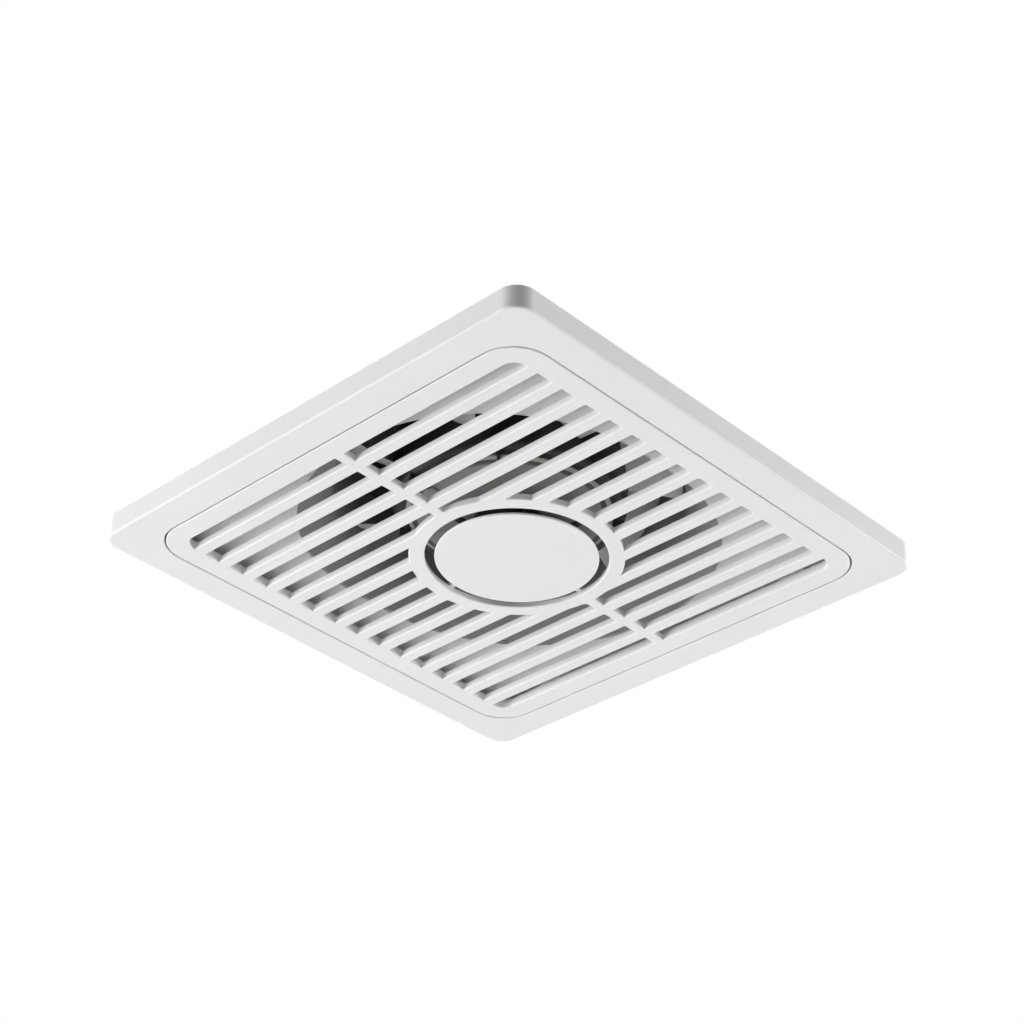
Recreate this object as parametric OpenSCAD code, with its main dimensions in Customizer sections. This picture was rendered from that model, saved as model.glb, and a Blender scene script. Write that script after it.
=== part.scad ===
// Ceiling exhaust fan for a bathroom, in millimetres.
// The origin is the centre of the ceiling plane, +Z points up into the ceiling void,
// and the slats of the grille run along X. Everything below z = 0 is seen from the room.

/* [Trim frame] */
// Outer width of the square trim frame
trim_w = 300; // [290:1:330]
// Depth of the trim frame below the ceiling
trim_depth = 12.8; // [11.5:0.1:16]
// Radius of the trim frame's outer corners
trim_corner_r = 10.5; // [6:0.5:14]
// Rounding of the trim frame's front edge
trim_edge_r = 1.2; // [0.6:0.1:2]
// Wall of the trim frame
trim_wall = 2.5; // [1.8:0.1:2.8]

/* [Grille panel] */
// Width of the frame's face on each side of the panel, which pulls out of it
frame_face = 17.5; // [16:0.5:19]
// Fine gap between panel and frame
panel_gap = 1; // [0.6:0.1:1.4]
// Radius of the panel's corners
panel_corner_r = 20; // [14:1:26]
// Thickness of the panel's border
panel_t = 3; // [2:0.1:3.6]
// Rounding of the panel's front edge
panel_edge_r = 0.6; // [0.3:0.1:1]
// Width of the panel's plain border around the slats
panel_border = 12; // [11.5:0.5:18]
// Radius of the window's corners
window_corner_r = 8; // [4:0.5:12]
// Depth of the window's wall and of the panel's skirt
rim_depth = 6; // [5:0.1:6.4]
// Wall of the window's rim and of the skirt
rim_wall = 2; // [1.2:0.1:2.4]
// Width of a slat's face
slat_w = 7.1; // [5:0.1:9]
// Distance from slat to slat
slat_pitch = 16.58; // [14:0.02:20]
// Width of the slot before the first slat
first_slot = 8; // [6:0.05:10]
// Depth of the slats
slat_depth = 3.8; // [3.5:0.1:5.6]
// Chamfer on the front edges of slats, crossbar and ring
slat_cut = 0.8; // [0.3:0.1:1.2]
// Width of the crossbar
crossbar_w = 6; // [4:0.5:12]
// Distance of the centre ring from the middle of the panel, towards +Y
ring_y = 6.5; // [0:0.1:10]
// Outer radius of the centre ring
ring_r = 56.5; // [53:0.5:64]
// Depth of the centre ring
ring_depth = 3.2; // [2.8:0.1:5]
// Radius of the hole in the centre ring
ring_hole_r = 48.3; // [46.5:0.1:49.5]

/* [Centre disc] */
// Radius of the centre disc
disc_r = 43; // [40:0.5:44]
// Width of the small bridges that carry the disc
bridge_w = 3; // [2:0.1:6]
// Thickness of the bridges
bridge_t = 2; // [1.5:0.1:2.5]
// Thickness of the disc at its rim
disc_t = 1.4; // [1.2:0.1:1.8]
// Rounding of the disc's front edge
disc_edge_r = 0.5; // [0.3:0.1:0.8]

/* [Orifice plate] */
// Thickness of the plate, which lies flat on the ceiling inside the trim frame
plate_t = 1.8; // [1.4:0.1:2.2]
// Distance of the ceiling screws from the frame's outer side, along X
ceiling_screw_in = 9; // [8:0.5:10]
// Distance of the ceiling screws from the middle, along Y
ceiling_screw_y = 110; // [90:1:125]
// Radius of the holes for the ceiling screws
ceiling_hole_r = 2.6; // [2:0.1:3]
// Distance of the air opening from the frame's outer side, along X
orifice_in = 47.5; // [44:0.5:50]
// How far each round end is drawn out from the opening's middle
orifice_stretch = 12; // [4:0.1:14]
// Shift of the opening's middle towards +Y
orifice_shift = 1.3; // [0:0.1:2]

/* [Fan shroud] */
// Distance of the shroud's square deck from the frame's outer side
deck_in = 22; // [21.5:0.5:22.5]
// Thickness of the deck
deck_t = 2; // [1.6:0.1:2.4]
// How much the bell mouth narrows, from the opening to the fan ring
bell_flare = 9.5; // [9:0.5:14]
// Wall of the fan ring and of the bell mouth
shroud_wall = 2; // [1.8:0.1:2.4]
// Height of the bell mouth above the orifice plate
bell_h = 22; // [18:0.5:24]
// Height of the fan ring above the bell mouth
fan_ring_h = 35; // [34:0.5:38]

/* [Impeller] */
// Radius of the hub
hub_r = 62; // [56:0.5:66]
// Height of the hub's flat nose above the ceiling plane
nose_z = 7; // [5:0.5:9]
// Height of the hub from nose to open end
hub_h = 51; // [46:0.5:54]
// Wall of the hub
hub_wall = 2; // [1.6:0.1:3]
// Number of blades
blade_count = 7; // [5:1:9]
// Clearance between blade tips and fan ring
tip_gap = 2; // [1.5:0.1:4]
// Chord of a blade at the hub
root_chord = 44; // [36:1:46]
// Chord of a blade at its tip
tip_chord = 56; // [44:1:60]
// Angle of a blade to the plane of rotation at the hub
root_pitch = 46; // [38:1:50]
// Angle of a blade to the plane of rotation at its tip
tip_pitch = 32; // [24:1:34]
// Thickness of a blade
blade_t = 2.2; // [1.6:0.1:3]
// Camber of a blade
blade_camber = 4; // [0:0.5:6]

/* [Motor] */
// Radius of the motor case
motor_r = 46; // [42:0.5:50]
// Height of the motor from case to cap
motor_h = 50; // [48:0.5:51]
// Wall of case and cap
motor_wall = 1.5; // [1:0.1:2]
// Radius of the shaft
shaft_r = 4; // [3:0.25:5]
// Running clearance between shaft and bearings
shaft_clearance = 0.03; // [0.02:0.01:0.06]
// Outer radius of the bearings
bearing_r = 11; // [10:0.5:12.5]
// Height of a bearing
bearing_h = 7; // [6:0.5:8]
// Thickness of the bracket that carries the motor
bracket_t = 2; // [1.5:0.1:3]
// Width of the bracket's arms
arm_w = 15; // [12:1:18]
// Distance of the rubber mounts from the fan's axis
mount_reach = 56; // [54:0.5:60]
// Height of a rubber mount
rubber_h = 4; // [3:0.5:6]

/* [Upper casing] */
// Wall of the upper casing
casing_wall = 2; // [1.6:0.1:2.4]
// Overlap of the casing's sleeve over the fan ring
sleeve_h = 8; // [6:0.5:12]
// How much narrower than the fan ring the casing's neck is
neck_step = 9; // [8:0.5:13]
// Height of the neck above the shoulder
neck_h = 10; // [9.6:0.1:14]
// Height of the cone between neck and spigot
cone_h = 21; // [18:0.5:26]
// Outer radius of the spigot that the duct slides over
spigot_r = 49; // [47:0.5:49]
// Length of the spigot
spigot_l = 21; // [20:0.5:40]
// Radius of the flaps' pin
pin_r = 1.5; // [1:0.1:2]
// Thickness of a flap
flap_t = 1.2; // [1:0.1:1.6]

/* [Terminal box] */
// Width of the terminal box along the deck
box_w = 76; // [72:1:100]
// Height of the terminal box above the middle of the lead
box_rise = 9.3; // [8:0.1:11]
// Depth of the terminal box
box_d = 20; // [19:0.5:20.5]
// Radius of the gland's cable bore
gland_bore_r = 4; // [3:0.5:4.5]
// Radius of the lead from the motor
lead_r = 2.2; // [1.5:0.1:2.4]

/* [Hidden] */
$fn = 96;
eps = 0.01;
seat = 0.1;

// Levels along Z
face_z = -trim_depth;
panel_back = face_z + panel_t;
slat_back = face_z + slat_depth;
rim_back = face_z + rim_depth;
plate_low = -plate_t;
deck_top = deck_t;
bell_top = bell_h;
ring_top = bell_top + fan_ring_h;

// Widths in plan
opening_w = trim_w - 2 * frame_face;
panel_w = opening_w - 2 * panel_gap;
window_w = panel_w - 2 * panel_border;
trim_lip_w = opening_w + 2 * trim_wall;
plate_w = trim_w - 2 * trim_wall - 2;
lip_r = panel_corner_r + panel_gap;
ceiling_screw_x = trim_w / 2 - ceiling_screw_in;
orifice_r = trim_w / 2 - orifice_in;
deck_w = trim_w - 2 * deck_in;
duct_r = orifice_r - bell_flare;
neck_r = duct_r - neck_step;

// Slats, counted from the first slot until the window is full
last_slot_min = 4;
slat_n = floor((window_w - first_slot - slat_w - last_slot_min) / slat_pitch) + 1;
function slat_y(i) = -window_w / 2 + first_slot + slat_w / 2 + i * slat_pitch;
ring_band = ring_r - ring_hole_r;
bridge_rest = ring_band / 3;
disc_rib_r = disc_r - 5;

// Clips, tongues and screws stand on a line behind the panel's border
border_line = panel_w / 2 - 3.7;
clip_y = 55;
tongue_t = 2;
tongue_l = 8;
tongue_back = plate_low - 1.9;
clip_t = 0.5;
clip_l = 7;
screw_line = opening_w / 2 - 3.3;
frame_screw_x = 88;
frame_boss_r = 3.2;
frame_boss_h = 7;
lug_t = 2;
lug_l = 16;
thin_screw_r = 1.75;
thin_head_r = 3.1;
lug_reach = thin_head_r + 3.3 + trim_wall / 2;
frame_screw_bite = 5;
shroud_head_r = 7;

// Shroud deck
deck_corner_r = 6;
boss_xy = deck_w / 2 - 14;
boss_r = 4.5;
web_t = 2;
gusset_in = orifice_r + orifice_stretch + 1;
gusset_out = gusset_in + 18;
gusset_top = bell_top + 24;

// Motor, hung from its bracket inside the upper casing
motor_z = nose_z + 15;
motor_top = motor_z + motor_h;
bracket_z = motor_top;
mount_z = bracket_z + bracket_t;
bearing_lift = motor_wall + 0.5;
bore_r = shaft_r + shaft_clearance;
stack_z = motor_z + 14;
stack_h = 22;
stator_r = motor_r - motor_wall - seat;
rotor_r = 24;
air_gap = 0.5;
pole_n = 6;
pole_w = 8;
yoke_w = 7;
thread_r = shaft_r - 1;
nut_h = 5;
boss_h = motor_z - nose_z - 2;
motor_screw_r = 1.5;
motor_screw_at = bearing_r + 7;
bracket_screw_r = 1.75;
rubber_r = 5;

// Upper casing and flaps
thread_depth = 6;
cone_lift = 0.58 * casing_wall;
shoulder_lift = 0.7 * casing_wall;
sleeve_r = duct_r + shroud_wall + seat;
shoulder_z = ring_top + 4;
neck_top = shoulder_z + neck_h;
cone_top = neck_top + cone_h;
spigot_top = cone_top + spigot_l;
spigot_hole_r = spigot_r - casing_wall;
flap_r = spigot_hole_r - 1.5;
flap_z = cone_top + 7;
pin_fit = 0.05;
ledge_t = 1.2;
ledge_top = flap_z - flap_t / 2 - 0.3;
knuckle_r = pin_r + 1.5;
knuckle_gap = 0.4;
knuckle_l = 0.34 * flap_r;

// Terminal box on the deck, with the lead from the motor
box_wall = 1.2;
box_x = -orifice_r - 3.4 - box_d;
box_in = box_x + box_d;
box_screw_y = box_w / 2 - box_wall - 3.3;
box_head_r = 2.6;
block_x = box_in - box_wall - 2.4;
lead_z = (shoulder_z + shoulder_lift + neck_top) / 2;
box_top = lead_z + box_rise;
box_h = box_top - deck_top;
lead_sag = 2;
grommet_r = lead_r + 1.1;
gland_r = 7;
gland_z = deck_top + 20;
gland_x = box_x + box_d / 2;

// Helpers
function arc(cx, cy, r, a0, a1, n) = [for (i = [0 : n]) let (a = a0 + (a1 - a0) * i / n)
    [cx + r * cos(a), cy + r * sin(a)]];

module square_plan(w, r) {
    square([w - 2 * r, w], center = true);
    square([w, w - 2 * r], center = true);
    for (x = [-1, 1], y = [-1, 1]) translate([x * (w / 2 - r), y * (w / 2 - r)]) circle(r);
}

// A square plate whose front edge, at z = 0, is rounded by e
module soft_plate(w, r, h, e) {
    side = concat([[0, h], [0, 0]], arc(w / 2 - e, e, e, -90, 0, 4), [[w / 2, h]]);
    both = concat(arc(w / 2 - e, e, e, -90, 0, 4), [[w / 2, h], [-w / 2, h]],
        arc(-w / 2 + e, e, e, -180, -90, 4));
    corner = concat([[0, h], [0, 0]], arc(r - e, e, e, -90, 0, 4), [[r, h]]);
    rotate([90, 0, 90]) linear_extrude(w - 2 * r, center = true) polygon(both);
    rotate([90, 0, 0]) linear_extrude(w - 2 * r, center = true) polygon(both);
    for (k = [0 : 3]) rotate(90 * k) translate([w / 2 - r, w / 2 - r])
        rotate_extrude(angle = 90) polygon(corner);
}

module orifice_plan(r) {
    for (s = [-1, 1]) translate([0, orifice_shift + s * orifice_stretch]) circle(r);
    translate([0, orifice_shift]) square([2 * r, 2 * orifice_stretch], center = true);
}

module at_corners(x, y) {
    for (sx = [-1, 1], sy = [-1, 1]) translate([sx * x, sy * y, 0]) children();
}

// A screw with its head below z = 0 and its shank above
module screw_up(r, head_r, head_h, l) {
    translate([0, 0, -head_h]) cylinder(r1 = head_r - 0.8, r2 = head_r, h = head_h);
    translate([0, 0, -eps]) cylinder(r = r, h = l + eps);
}

module screw_down(r, head_r, head_h, l) {
    mirror([0, 0, 1]) screw_up(r, head_r, head_h, l);
}

// Trim frame: a hollow square frame with lugs behind the panel's border
module trim_frame() color("white") {
    difference() {
        union() {
            difference() {
                translate([0, 0, face_z]) soft_plate(trim_w, trim_corner_r, trim_depth, trim_edge_r);
                translate([0, 0, face_z + trim_wall]) linear_extrude(trim_depth) difference() {
                    square_plan(trim_w - 2 * trim_wall, trim_corner_r - trim_wall);
                    square_plan(trim_lip_w, lip_r + trim_wall);
                }
                translate([0, 0, plate_low]) linear_extrude(trim_depth)
                    square_plan(plate_w + 1, trim_corner_r - trim_wall);
                translate([0, 0, face_z - 1]) linear_extrude(trim_depth + 2)
                    square_plan(opening_w, lip_r);
            }
            for (sx = [-1, 1], sy = [-1, 1]) translate([sx * frame_screw_x, sy * screw_line, 0])
                translate([-lug_l / 2, -thin_head_r, plate_low - lug_t])
                    translate([0, sy > 0 ? 0 : 2 * thin_head_r - lug_reach, 0])
                        cube([lug_l, lug_reach, lug_t]);
        }
        at_corners(frame_screw_x, screw_line) translate([0, 0, face_z])
            cylinder(r = thin_screw_r + seat, h = trim_depth);
    }
}

// Grille panel: border, rim, skirt, slats, crossbar and ring in one moulding
module bar(l, w) {
    h = slat_depth;
    c = slat_cut;
    rotate([90, 0, 90]) linear_extrude(l, center = true)
        polygon([[-w / 2, h], [-w / 2, c], [-w / 2 + c, 0], [w / 2 - c, 0], [w / 2, c], [w / 2, h]]);
}

module ring_bar() {
    c = slat_cut;
    rotate_extrude() polygon([[ring_hole_r, ring_depth], [ring_hole_r, c], [ring_hole_r + c, 0],
        [ring_r - c, 0], [ring_r, c], [ring_r, ring_depth]]);
}

module grille_panel() color("white") {
    difference() {
        translate([0, 0, face_z]) soft_plate(panel_w, panel_corner_r, rim_depth, panel_edge_r);
        translate([0, 0, panel_back]) linear_extrude(rim_depth) difference() {
            square_plan(panel_w - 2 * rim_wall, panel_corner_r - rim_wall);
            square_plan(window_w + 2 * rim_wall, window_corner_r + rim_wall);
        }
        translate([0, 0, face_z - 1]) linear_extrude(rim_depth + 2)
            square_plan(window_w, window_corner_r);
    }
    translate([0, 0, face_z]) {
        difference() {
            union() {
                for (i = [0 : slat_n - 1]) translate([0, slat_y(i), 0]) bar(window_w + 2, slat_w);
                rotate(90) bar(window_w + 2, crossbar_w);
            }
            translate([0, ring_y, -1]) cylinder(r = ring_hole_r + ring_band / 2, h = slat_depth + 2);
        }
        translate([0, ring_y, 0]) ring_bar();
    }
    at_corners(border_line, clip_y) translate([-tongue_t / 2, -tongue_l / 2, panel_back - eps])
        cube([tongue_t, tongue_l, tongue_back - panel_back + eps]);
}

// Centre disc: thin at its rim, with a rib behind it, from which four bridges reach over the ring's back
module centre_disc() color("white") translate([0, ring_y, face_z]) {
    rotate_extrude() polygon(concat([[0, disc_t + 0.4], [0, 0]],
        arc(disc_r - disc_edge_r, disc_edge_r, disc_edge_r, -90, 0, 4),
        [[disc_r, disc_t], [disc_rib_r, disc_t], [disc_rib_r, ring_depth + bridge_t],
        [disc_rib_r - disc_t, ring_depth + bridge_t], [disc_rib_r - disc_t, disc_t + 0.4]]));
    for (k = [0 : 3]) rotate(90 * k) translate([disc_rib_r - disc_t / 2, -bridge_w / 2, ring_depth])
        cube([ring_hole_r + bridge_rest - disc_rib_r + disc_t / 2, bridge_w, bridge_t]);
}

// Panel clips: bent steel springs under the plate that hold the panel's tongues
module panel_clips() color("silver") {
    gap = tongue_t + 2 * seat;
    legs = rim_back + 0.3;
    at_corners(border_line, clip_y) difference() {
        translate([-gap / 2 - clip_t, -clip_l / 2, legs])
            cube([gap + 2 * clip_t, clip_l, plate_low - legs]);
        translate([-gap / 2, -clip_l / 2 - 1, legs - 1])
            cube([gap, clip_l + 2, plate_low - clip_t - legs + 1]);
    }
}

// Orifice plate: the white plate behind the slats, with the large air opening
module orifice_plate() color("white") {
    difference() {
        union() {
            translate([0, 0, plate_low]) linear_extrude(plate_t) square_plan(plate_w, lip_r - 0.5);
            at_corners(boss_xy, boss_xy) translate([0, 0, plate_low])
                cylinder(r = boss_r, h = deck_top + seat - plate_low);
            at_corners(frame_screw_x, screw_line) translate([0, 0, plate_low])
                cylinder(r = frame_boss_r, h = plate_t + frame_boss_h);
        }
        translate([0, 0, plate_low - 1]) linear_extrude(plate_t + 2) orifice_plan(orifice_r);
        at_corners(frame_screw_x, screw_line) translate([0, 0, plate_low - 1])
            cylinder(r = thin_screw_r + seat, h = frame_boss_h);
        at_corners(boss_xy, boss_xy) translate([0, 0, plate_low + 1])
            cylinder(r = thin_screw_r + seat, h = deck_top + 3);
        at_corners(ceiling_screw_x, ceiling_screw_y) translate([0, 0, plate_low - 1])
            cylinder(r = ceiling_hole_r, h = plate_t + 2);
    }
}

// Bell mouth: from the long opening of the plate it narrows to the round fan ring
bell_steps = 7;
bell_sides = 72;
function bell_point(a, t, wall) =
    let (k = 1 - sin(90 * t), r = duct_r + 0.3 + (orifice_r - duct_r - 0.3) * k + wall,
        s = orifice_stretch * k * sign(round(1000 * sin(a))), c = orifice_shift * k)
    [r * cos(a), c + s + r * sin(a), bell_h * t];

module bell_mouth() {
    n = bell_sides;
    m = bell_steps;
    rows = 2 * (m + 1);
    points = [for (j = [0 : rows - 1]) let (t = (j <= m ? j : rows - 1 - j) / m,
        wall = j <= m ? 0 : mix(shroud_wall + 0.5, shroud_wall - 0.8, t))
        for (i = [0 : n - 1]) bell_point(360 * i / n, t, wall)];
    faces = [for (j = [0 : rows - 1], i = [0 : n - 1]) let (a = j * n + i, b = j * n + (i + 1) % n,
        c = (j + 1) % rows * n + (i + 1) % n, d = (j + 1) % rows * n + i) each [[a, b, c], [a, c, d]]];
    polyhedron(points, faces);
}

// Puts children on the sleeve's outside, with +Z pointing away from the fan's axis
module at_sleeve() {
    for (k = [0 : 3]) rotate(45 + 90 * k) translate([sleeve_r + casing_wall, 0, ring_top - sleeve_h / 2])
        rotate([0, 90, 0]) children();
}

module at_box_screws() {
    for (y = [-1, 1]) translate([gland_x, y * box_screw_y, deck_top + box_wall]) children();
}

// Fan shroud: deck, bell mouth and fan ring, with a gusset towards each corner
module fan_shroud() color("gray") {
    difference() {
        union() {
            difference() {
                linear_extrude(deck_t) square_plan(deck_w, deck_corner_r);
                translate([0, 0, -1]) linear_extrude(deck_t + 2) orifice_plan(orifice_r + 1.5);
            }
            translate([0, 0, bell_top - 1]) linear_extrude(fan_ring_h + 1) difference() {
                circle(duct_r + shroud_wall);
                circle(duct_r);
            }
            for (k = [0 : 3]) rotate(45 + 90 * k) rotate([90, 0, 0])
                linear_extrude(web_t, center = true) polygon([[duct_r + shroud_wall / 2, gusset_top],
                    [duct_r + shroud_wall / 2, bell_top + 1], [gusset_in, deck_top - 0.5],
                    [gusset_out, deck_top - 0.5], [gusset_out, deck_top + 3]]);
            bell_mouth();
        }
        at_corners(boss_xy, boss_xy) translate([0, 0, -1]) cylinder(r = boss_r + 0.3, h = deck_t + 2);
        at_corners(frame_screw_x, screw_line) translate([0, 0, -1])
            cylinder(r = frame_boss_r + 0.3, h = deck_t + 2);
        at_sleeve() cylinder(r = motor_screw_r + seat, h = 20, center = true);
        at_box_screws() cylinder(r = motor_screw_r + seat, h = 20, center = true);
    }
}

// Impeller: a hub like an upturned cup with a domed nose, and blades with twist and camber
nose_flat = 9;
dome_r = hub_r - 5;
dome_rise = 5.8;
function dome(r) = nose_z + dome_rise * pow((r - nose_flat) / (dome_r - nose_flat), 2);
hub_top = nose_z + hub_h;
step_depth = 0.7;

module hub() {
    outer = concat([[0, nose_z]], [for (i = [0 : 6]) let (r = nose_flat + (dome_r - 8 - nose_flat) * i / 6)
        [r, dome(r)]], [[dome_r - 7.9, dome(dome_r - 8) + step_depth], [dome_r - 5, dome(dome_r - 5)
        + step_depth], [dome_r - 4.9, dome(dome_r - 5)], [dome_r - 2.5, dome(dome_r - 2.5)],
        [dome_r - 2.4, dome(dome_r - 2.5) + step_depth]], arc(dome_r, dome(dome_r) + 5, 5, -80, 0, 6));
    inner = [[hub_r - hub_wall, hub_top], [hub_r - hub_wall, dome(dome_r) + 7],
        [dome_r - 4, dome(dome_r) + hub_wall + 1], [dome_r / 2, dome(dome_r / 2) + hub_wall + 0.6],
        [0, nose_z + hub_wall + 0.6]];
    rotate_extrude() polygon(concat(outer, [[hub_r, hub_top]], inner));
    translate([0, 0, nose_z]) cylinder(r = nose_flat, h = boss_h);
    for (k = [0 : blade_count - 1]) rotate(360 * k / blade_count)
        translate([shaft_r + 3, -web_t / 2, nose_z + hub_wall])
            cube([hub_r - hub_wall / 2 - shaft_r - 3, web_t, 9]);
}

blade_spans = 6;
blade_cuts = 8;
blade_z = nose_z + hub_h - 16;
function mix(a, b, t) = a + (b - a) * t;
function blade_section(v) =
    let (r = mix(hub_r - hub_wall / 2, duct_r - tip_gap, v), chord = mix(root_chord, tip_chord, v),
        pitch = mix(root_pitch, tip_pitch, v))
    [for (j = [0 : 2 * blade_cuts - 1]) let (u = (j < blade_cuts ? j + 0.5 : 2 * blade_cuts - 0.5 - j)
        / blade_cuts, side = j < blade_cuts ? 1 : -1, w = 2 * u - 1,
        rise = blade_camber * (1 - w * w) + side * blade_t / 2 * sqrt(1 - pow(w, 4)),
        s = -(u - 0.5) * chord * cos(pitch) - rise * sin(pitch),
        z = (u - 0.5) * chord * sin(pitch) - rise * cos(pitch), a = s / r * 180 / PI + 6 * v)
        [r * cos(a), r * sin(a), blade_z + z]];

module blade() {
    n = 2 * blade_cuts;
    points = [for (i = [0 : blade_spans]) each blade_section(i / blade_spans)];
    root = [for (j = [1 : n - 2]) [0, j + 1, j]];
    tip = [for (j = [1 : n - 2]) let (o = blade_spans * n) [o, o + j, o + j + 1]];
    skin = [for (i = [0 : blade_spans - 1], j = [0 : n - 1]) let (a = i * n + j, b = i * n + (j + 1) % n)
        each [[a, b + n, a + n], [a, b, b + n]]];
    polyhedron(points, concat(root, tip, skin));
}

module impeller() color("lightgray") {
    difference() {
        union() {
            hub();
            for (k = [0 : blade_count - 1]) rotate(360 * (k + 0.5) / blade_count) blade();
        }
        translate([0, 0, nose_z - 1]) cylinder(r = shaft_r + 0.02, h = boss_h + 2);
    }
}

module impeller_nut() color("silver") translate([0, 0, nose_z - nut_h]) difference() {
    union() {
        cylinder(r = 5.8, h = nut_h - 1, $fn = 6);
        translate([0, 0, nut_h - 1]) cylinder(r = 7, h = 1);
    }
    translate([0, 0, -1]) cylinder(r = thread_r + 0.02, h = nut_h + 2);
}

module motor_shaft() color("silver") {
    translate([0, 0, nose_z]) cylinder(r = shaft_r, h = motor_top - 1 - nose_z);
    translate([0, 0, nose_z - nut_h - 1]) cylinder(r = thread_r, h = nut_h + 1 + eps);
}

// Motor: case and cap hold the bearings, the stator and its coils
module rotor() color("dimgray") translate([0, 0, stack_z]) difference() {
    union() {
        translate([0, 0, 2]) cylinder(r = rotor_r - air_gap, h = stack_h - 4);
        cylinder(r = rotor_r - 3, h = stack_h);
    }
    translate([0, 0, -1]) cylinder(r = shaft_r + 0.02, h = stack_h + 2);
}

module stator_core() color("darkgray") translate([0, 0, stack_z + 2]) linear_extrude(stack_h - 4) {
    difference() {
        circle(stator_r);
        circle(stator_r - yoke_w);
    }
    for (k = [0 : pole_n - 1]) rotate(360 * k / pole_n) intersection() {
        union() {
            translate([rotor_r, -pole_w / 2]) square([stator_r - rotor_r - yoke_w / 2, pole_w]);
            translate([rotor_r, -pole_w]) square([4, 2 * pole_w]);
        }
        difference() {
            circle(stator_r - 1);
            circle(rotor_r);
        }
    }
}

module stator_coils() color("peru") {
    coil_w = 3.4;
    coil_l = stator_r - yoke_w - rotor_r - 4 - 2;
    core_h = stack_h - 4;
    for (k = [0 : pole_n - 1]) rotate(360 * k / pole_n)
        translate([rotor_r + 5, 0, stack_z + stack_h / 2]) rotate([90, 0, 90])
            linear_extrude(coil_l) difference() {
                square([pole_w + 2 * coil_w, core_h + 2 * coil_w], center = true);
                square([pole_w + 2 * seat, core_h + 2 * seat], center = true);
            }
}

// One half of the motor's shell, open at z = h, with a seat for its bearing
module shell_half(h, hole_r) {
    boss_wall = 2;
    rotate_extrude() polygon([[hole_r, 0], [motor_r - 2, 0], [motor_r, 2], [motor_r, h],
        [motor_r - motor_wall, h], [motor_r - motor_wall, motor_wall + 1],
        [motor_r - motor_wall - 1, motor_wall], [bearing_r + boss_wall, motor_wall],
        [bearing_r + boss_wall, bearing_lift + bearing_h - 1], [bearing_r + 0.02,
        bearing_lift + bearing_h - 1], [bearing_r + 0.02, bearing_lift], [hole_r, bearing_lift]]);
}

module motor_case() color("lightsteelblue")
    translate([0, 0, motor_z]) shell_half(motor_h / 2, shaft_r + 0.6);

module motor_cap() color("lightsteelblue") difference() {
    translate([0, 0, motor_top]) mirror([0, 0, 1]) shell_half(motor_h / 2, shaft_r + 0.6);
    for (k = [0 : 7]) rotate(22.5 + 45 * k) translate([bearing_r + 11, -2, motor_top - 5])
        cube([12, 4, 10]);
    for (k = [0 : 3]) rotate(90 * k) translate([motor_screw_at, 0, motor_top - 5])
        cylinder(r = motor_screw_r + seat, h = 10);
    translate([-motor_r - 2, 0, lead_z]) rotate([0, 90, 0]) cylinder(r = lead_r + 0.2, h = 8);
}

module bearing() difference() {
    cylinder(r = bearing_r, h = bearing_h);
    translate([0, 0, -1]) cylinder(r = bore_r, h = bearing_h + 2);
    for (z = [-0.5, bearing_h - 0.5]) translate([0, 0, z]) difference() {
        cylinder(r = bearing_r - 2, h = 1);
        translate([0, 0, -1]) cylinder(r = shaft_r + 2, h = 3);
    }
}

module lower_bearing() color("silver") translate([0, 0, motor_z + bearing_lift]) bearing();

module upper_bearing() color("silver")
    translate([0, 0, motor_top - bearing_lift - bearing_h]) bearing();

// Bracket: a pressed steel spider that hangs the motor from the upper casing
module motor_bracket() color("silver") difference() {
    edge_x = bearing_r + 6;
    translate([0, 0, bracket_z]) union() {
        cylinder(r = motor_r - 6, h = bracket_t);
        for (k = [0 : 3]) rotate(45 + 90 * k) {
            translate([0, -arm_w / 2, 0]) cube([mount_reach, arm_w, bracket_t]);
            translate([mount_reach, 0, 0]) cylinder(r = arm_w / 2, h = bracket_t);
            for (s = [-1, 1]) translate([edge_x, s * (arm_w / 2 - 1) - 1, 0])
                cube([mount_reach - rubber_r - 2 - edge_x, 2, bracket_t + 4]);
        }
    }
    translate([0, 0, bracket_z - 1]) cylinder(r = bearing_r + 1, h = bracket_t + 2);
    for (k = [0 : 3]) rotate(90 * k) translate([motor_screw_at, 0, bracket_z - 1])
        cylinder(r = motor_screw_r + seat, h = bracket_t + 2);
    for (k = [0 : 3]) rotate(45 + 90 * k) translate([mount_reach, 0, bracket_z - 1])
        cylinder(r = bracket_screw_r + seat, h = bracket_t + 2);
}

module rubber_mounts() color("black") for (k = [0 : 3]) rotate(45 + 90 * k)
    translate([mount_reach, 0, mount_z]) rotate_extrude() polygon([[bracket_screw_r + seat, 0],
        [rubber_r, 0], [rubber_r, 1], [rubber_r - 1, 1.5], [rubber_r - 1, rubber_h - 1.5],
        [rubber_r, rubber_h - 1], [rubber_r, rubber_h], [bracket_screw_r + seat, rubber_h]]);

module bracket_screws() color("silver") for (k = [0 : 3]) rotate(45 + 90 * k)
    translate([mount_reach, 0, bracket_z])
        screw_up(bracket_screw_r, 4.2, 2.6, bracket_t + rubber_h + thread_depth);

module motor_screws() color("silver") for (k = [0 : 3]) rotate(90 * k)
    translate([motor_screw_at, 0, bracket_z + bracket_t])
        screw_down(motor_screw_r, 2.8, 1.8, bracket_t + 4);

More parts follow.
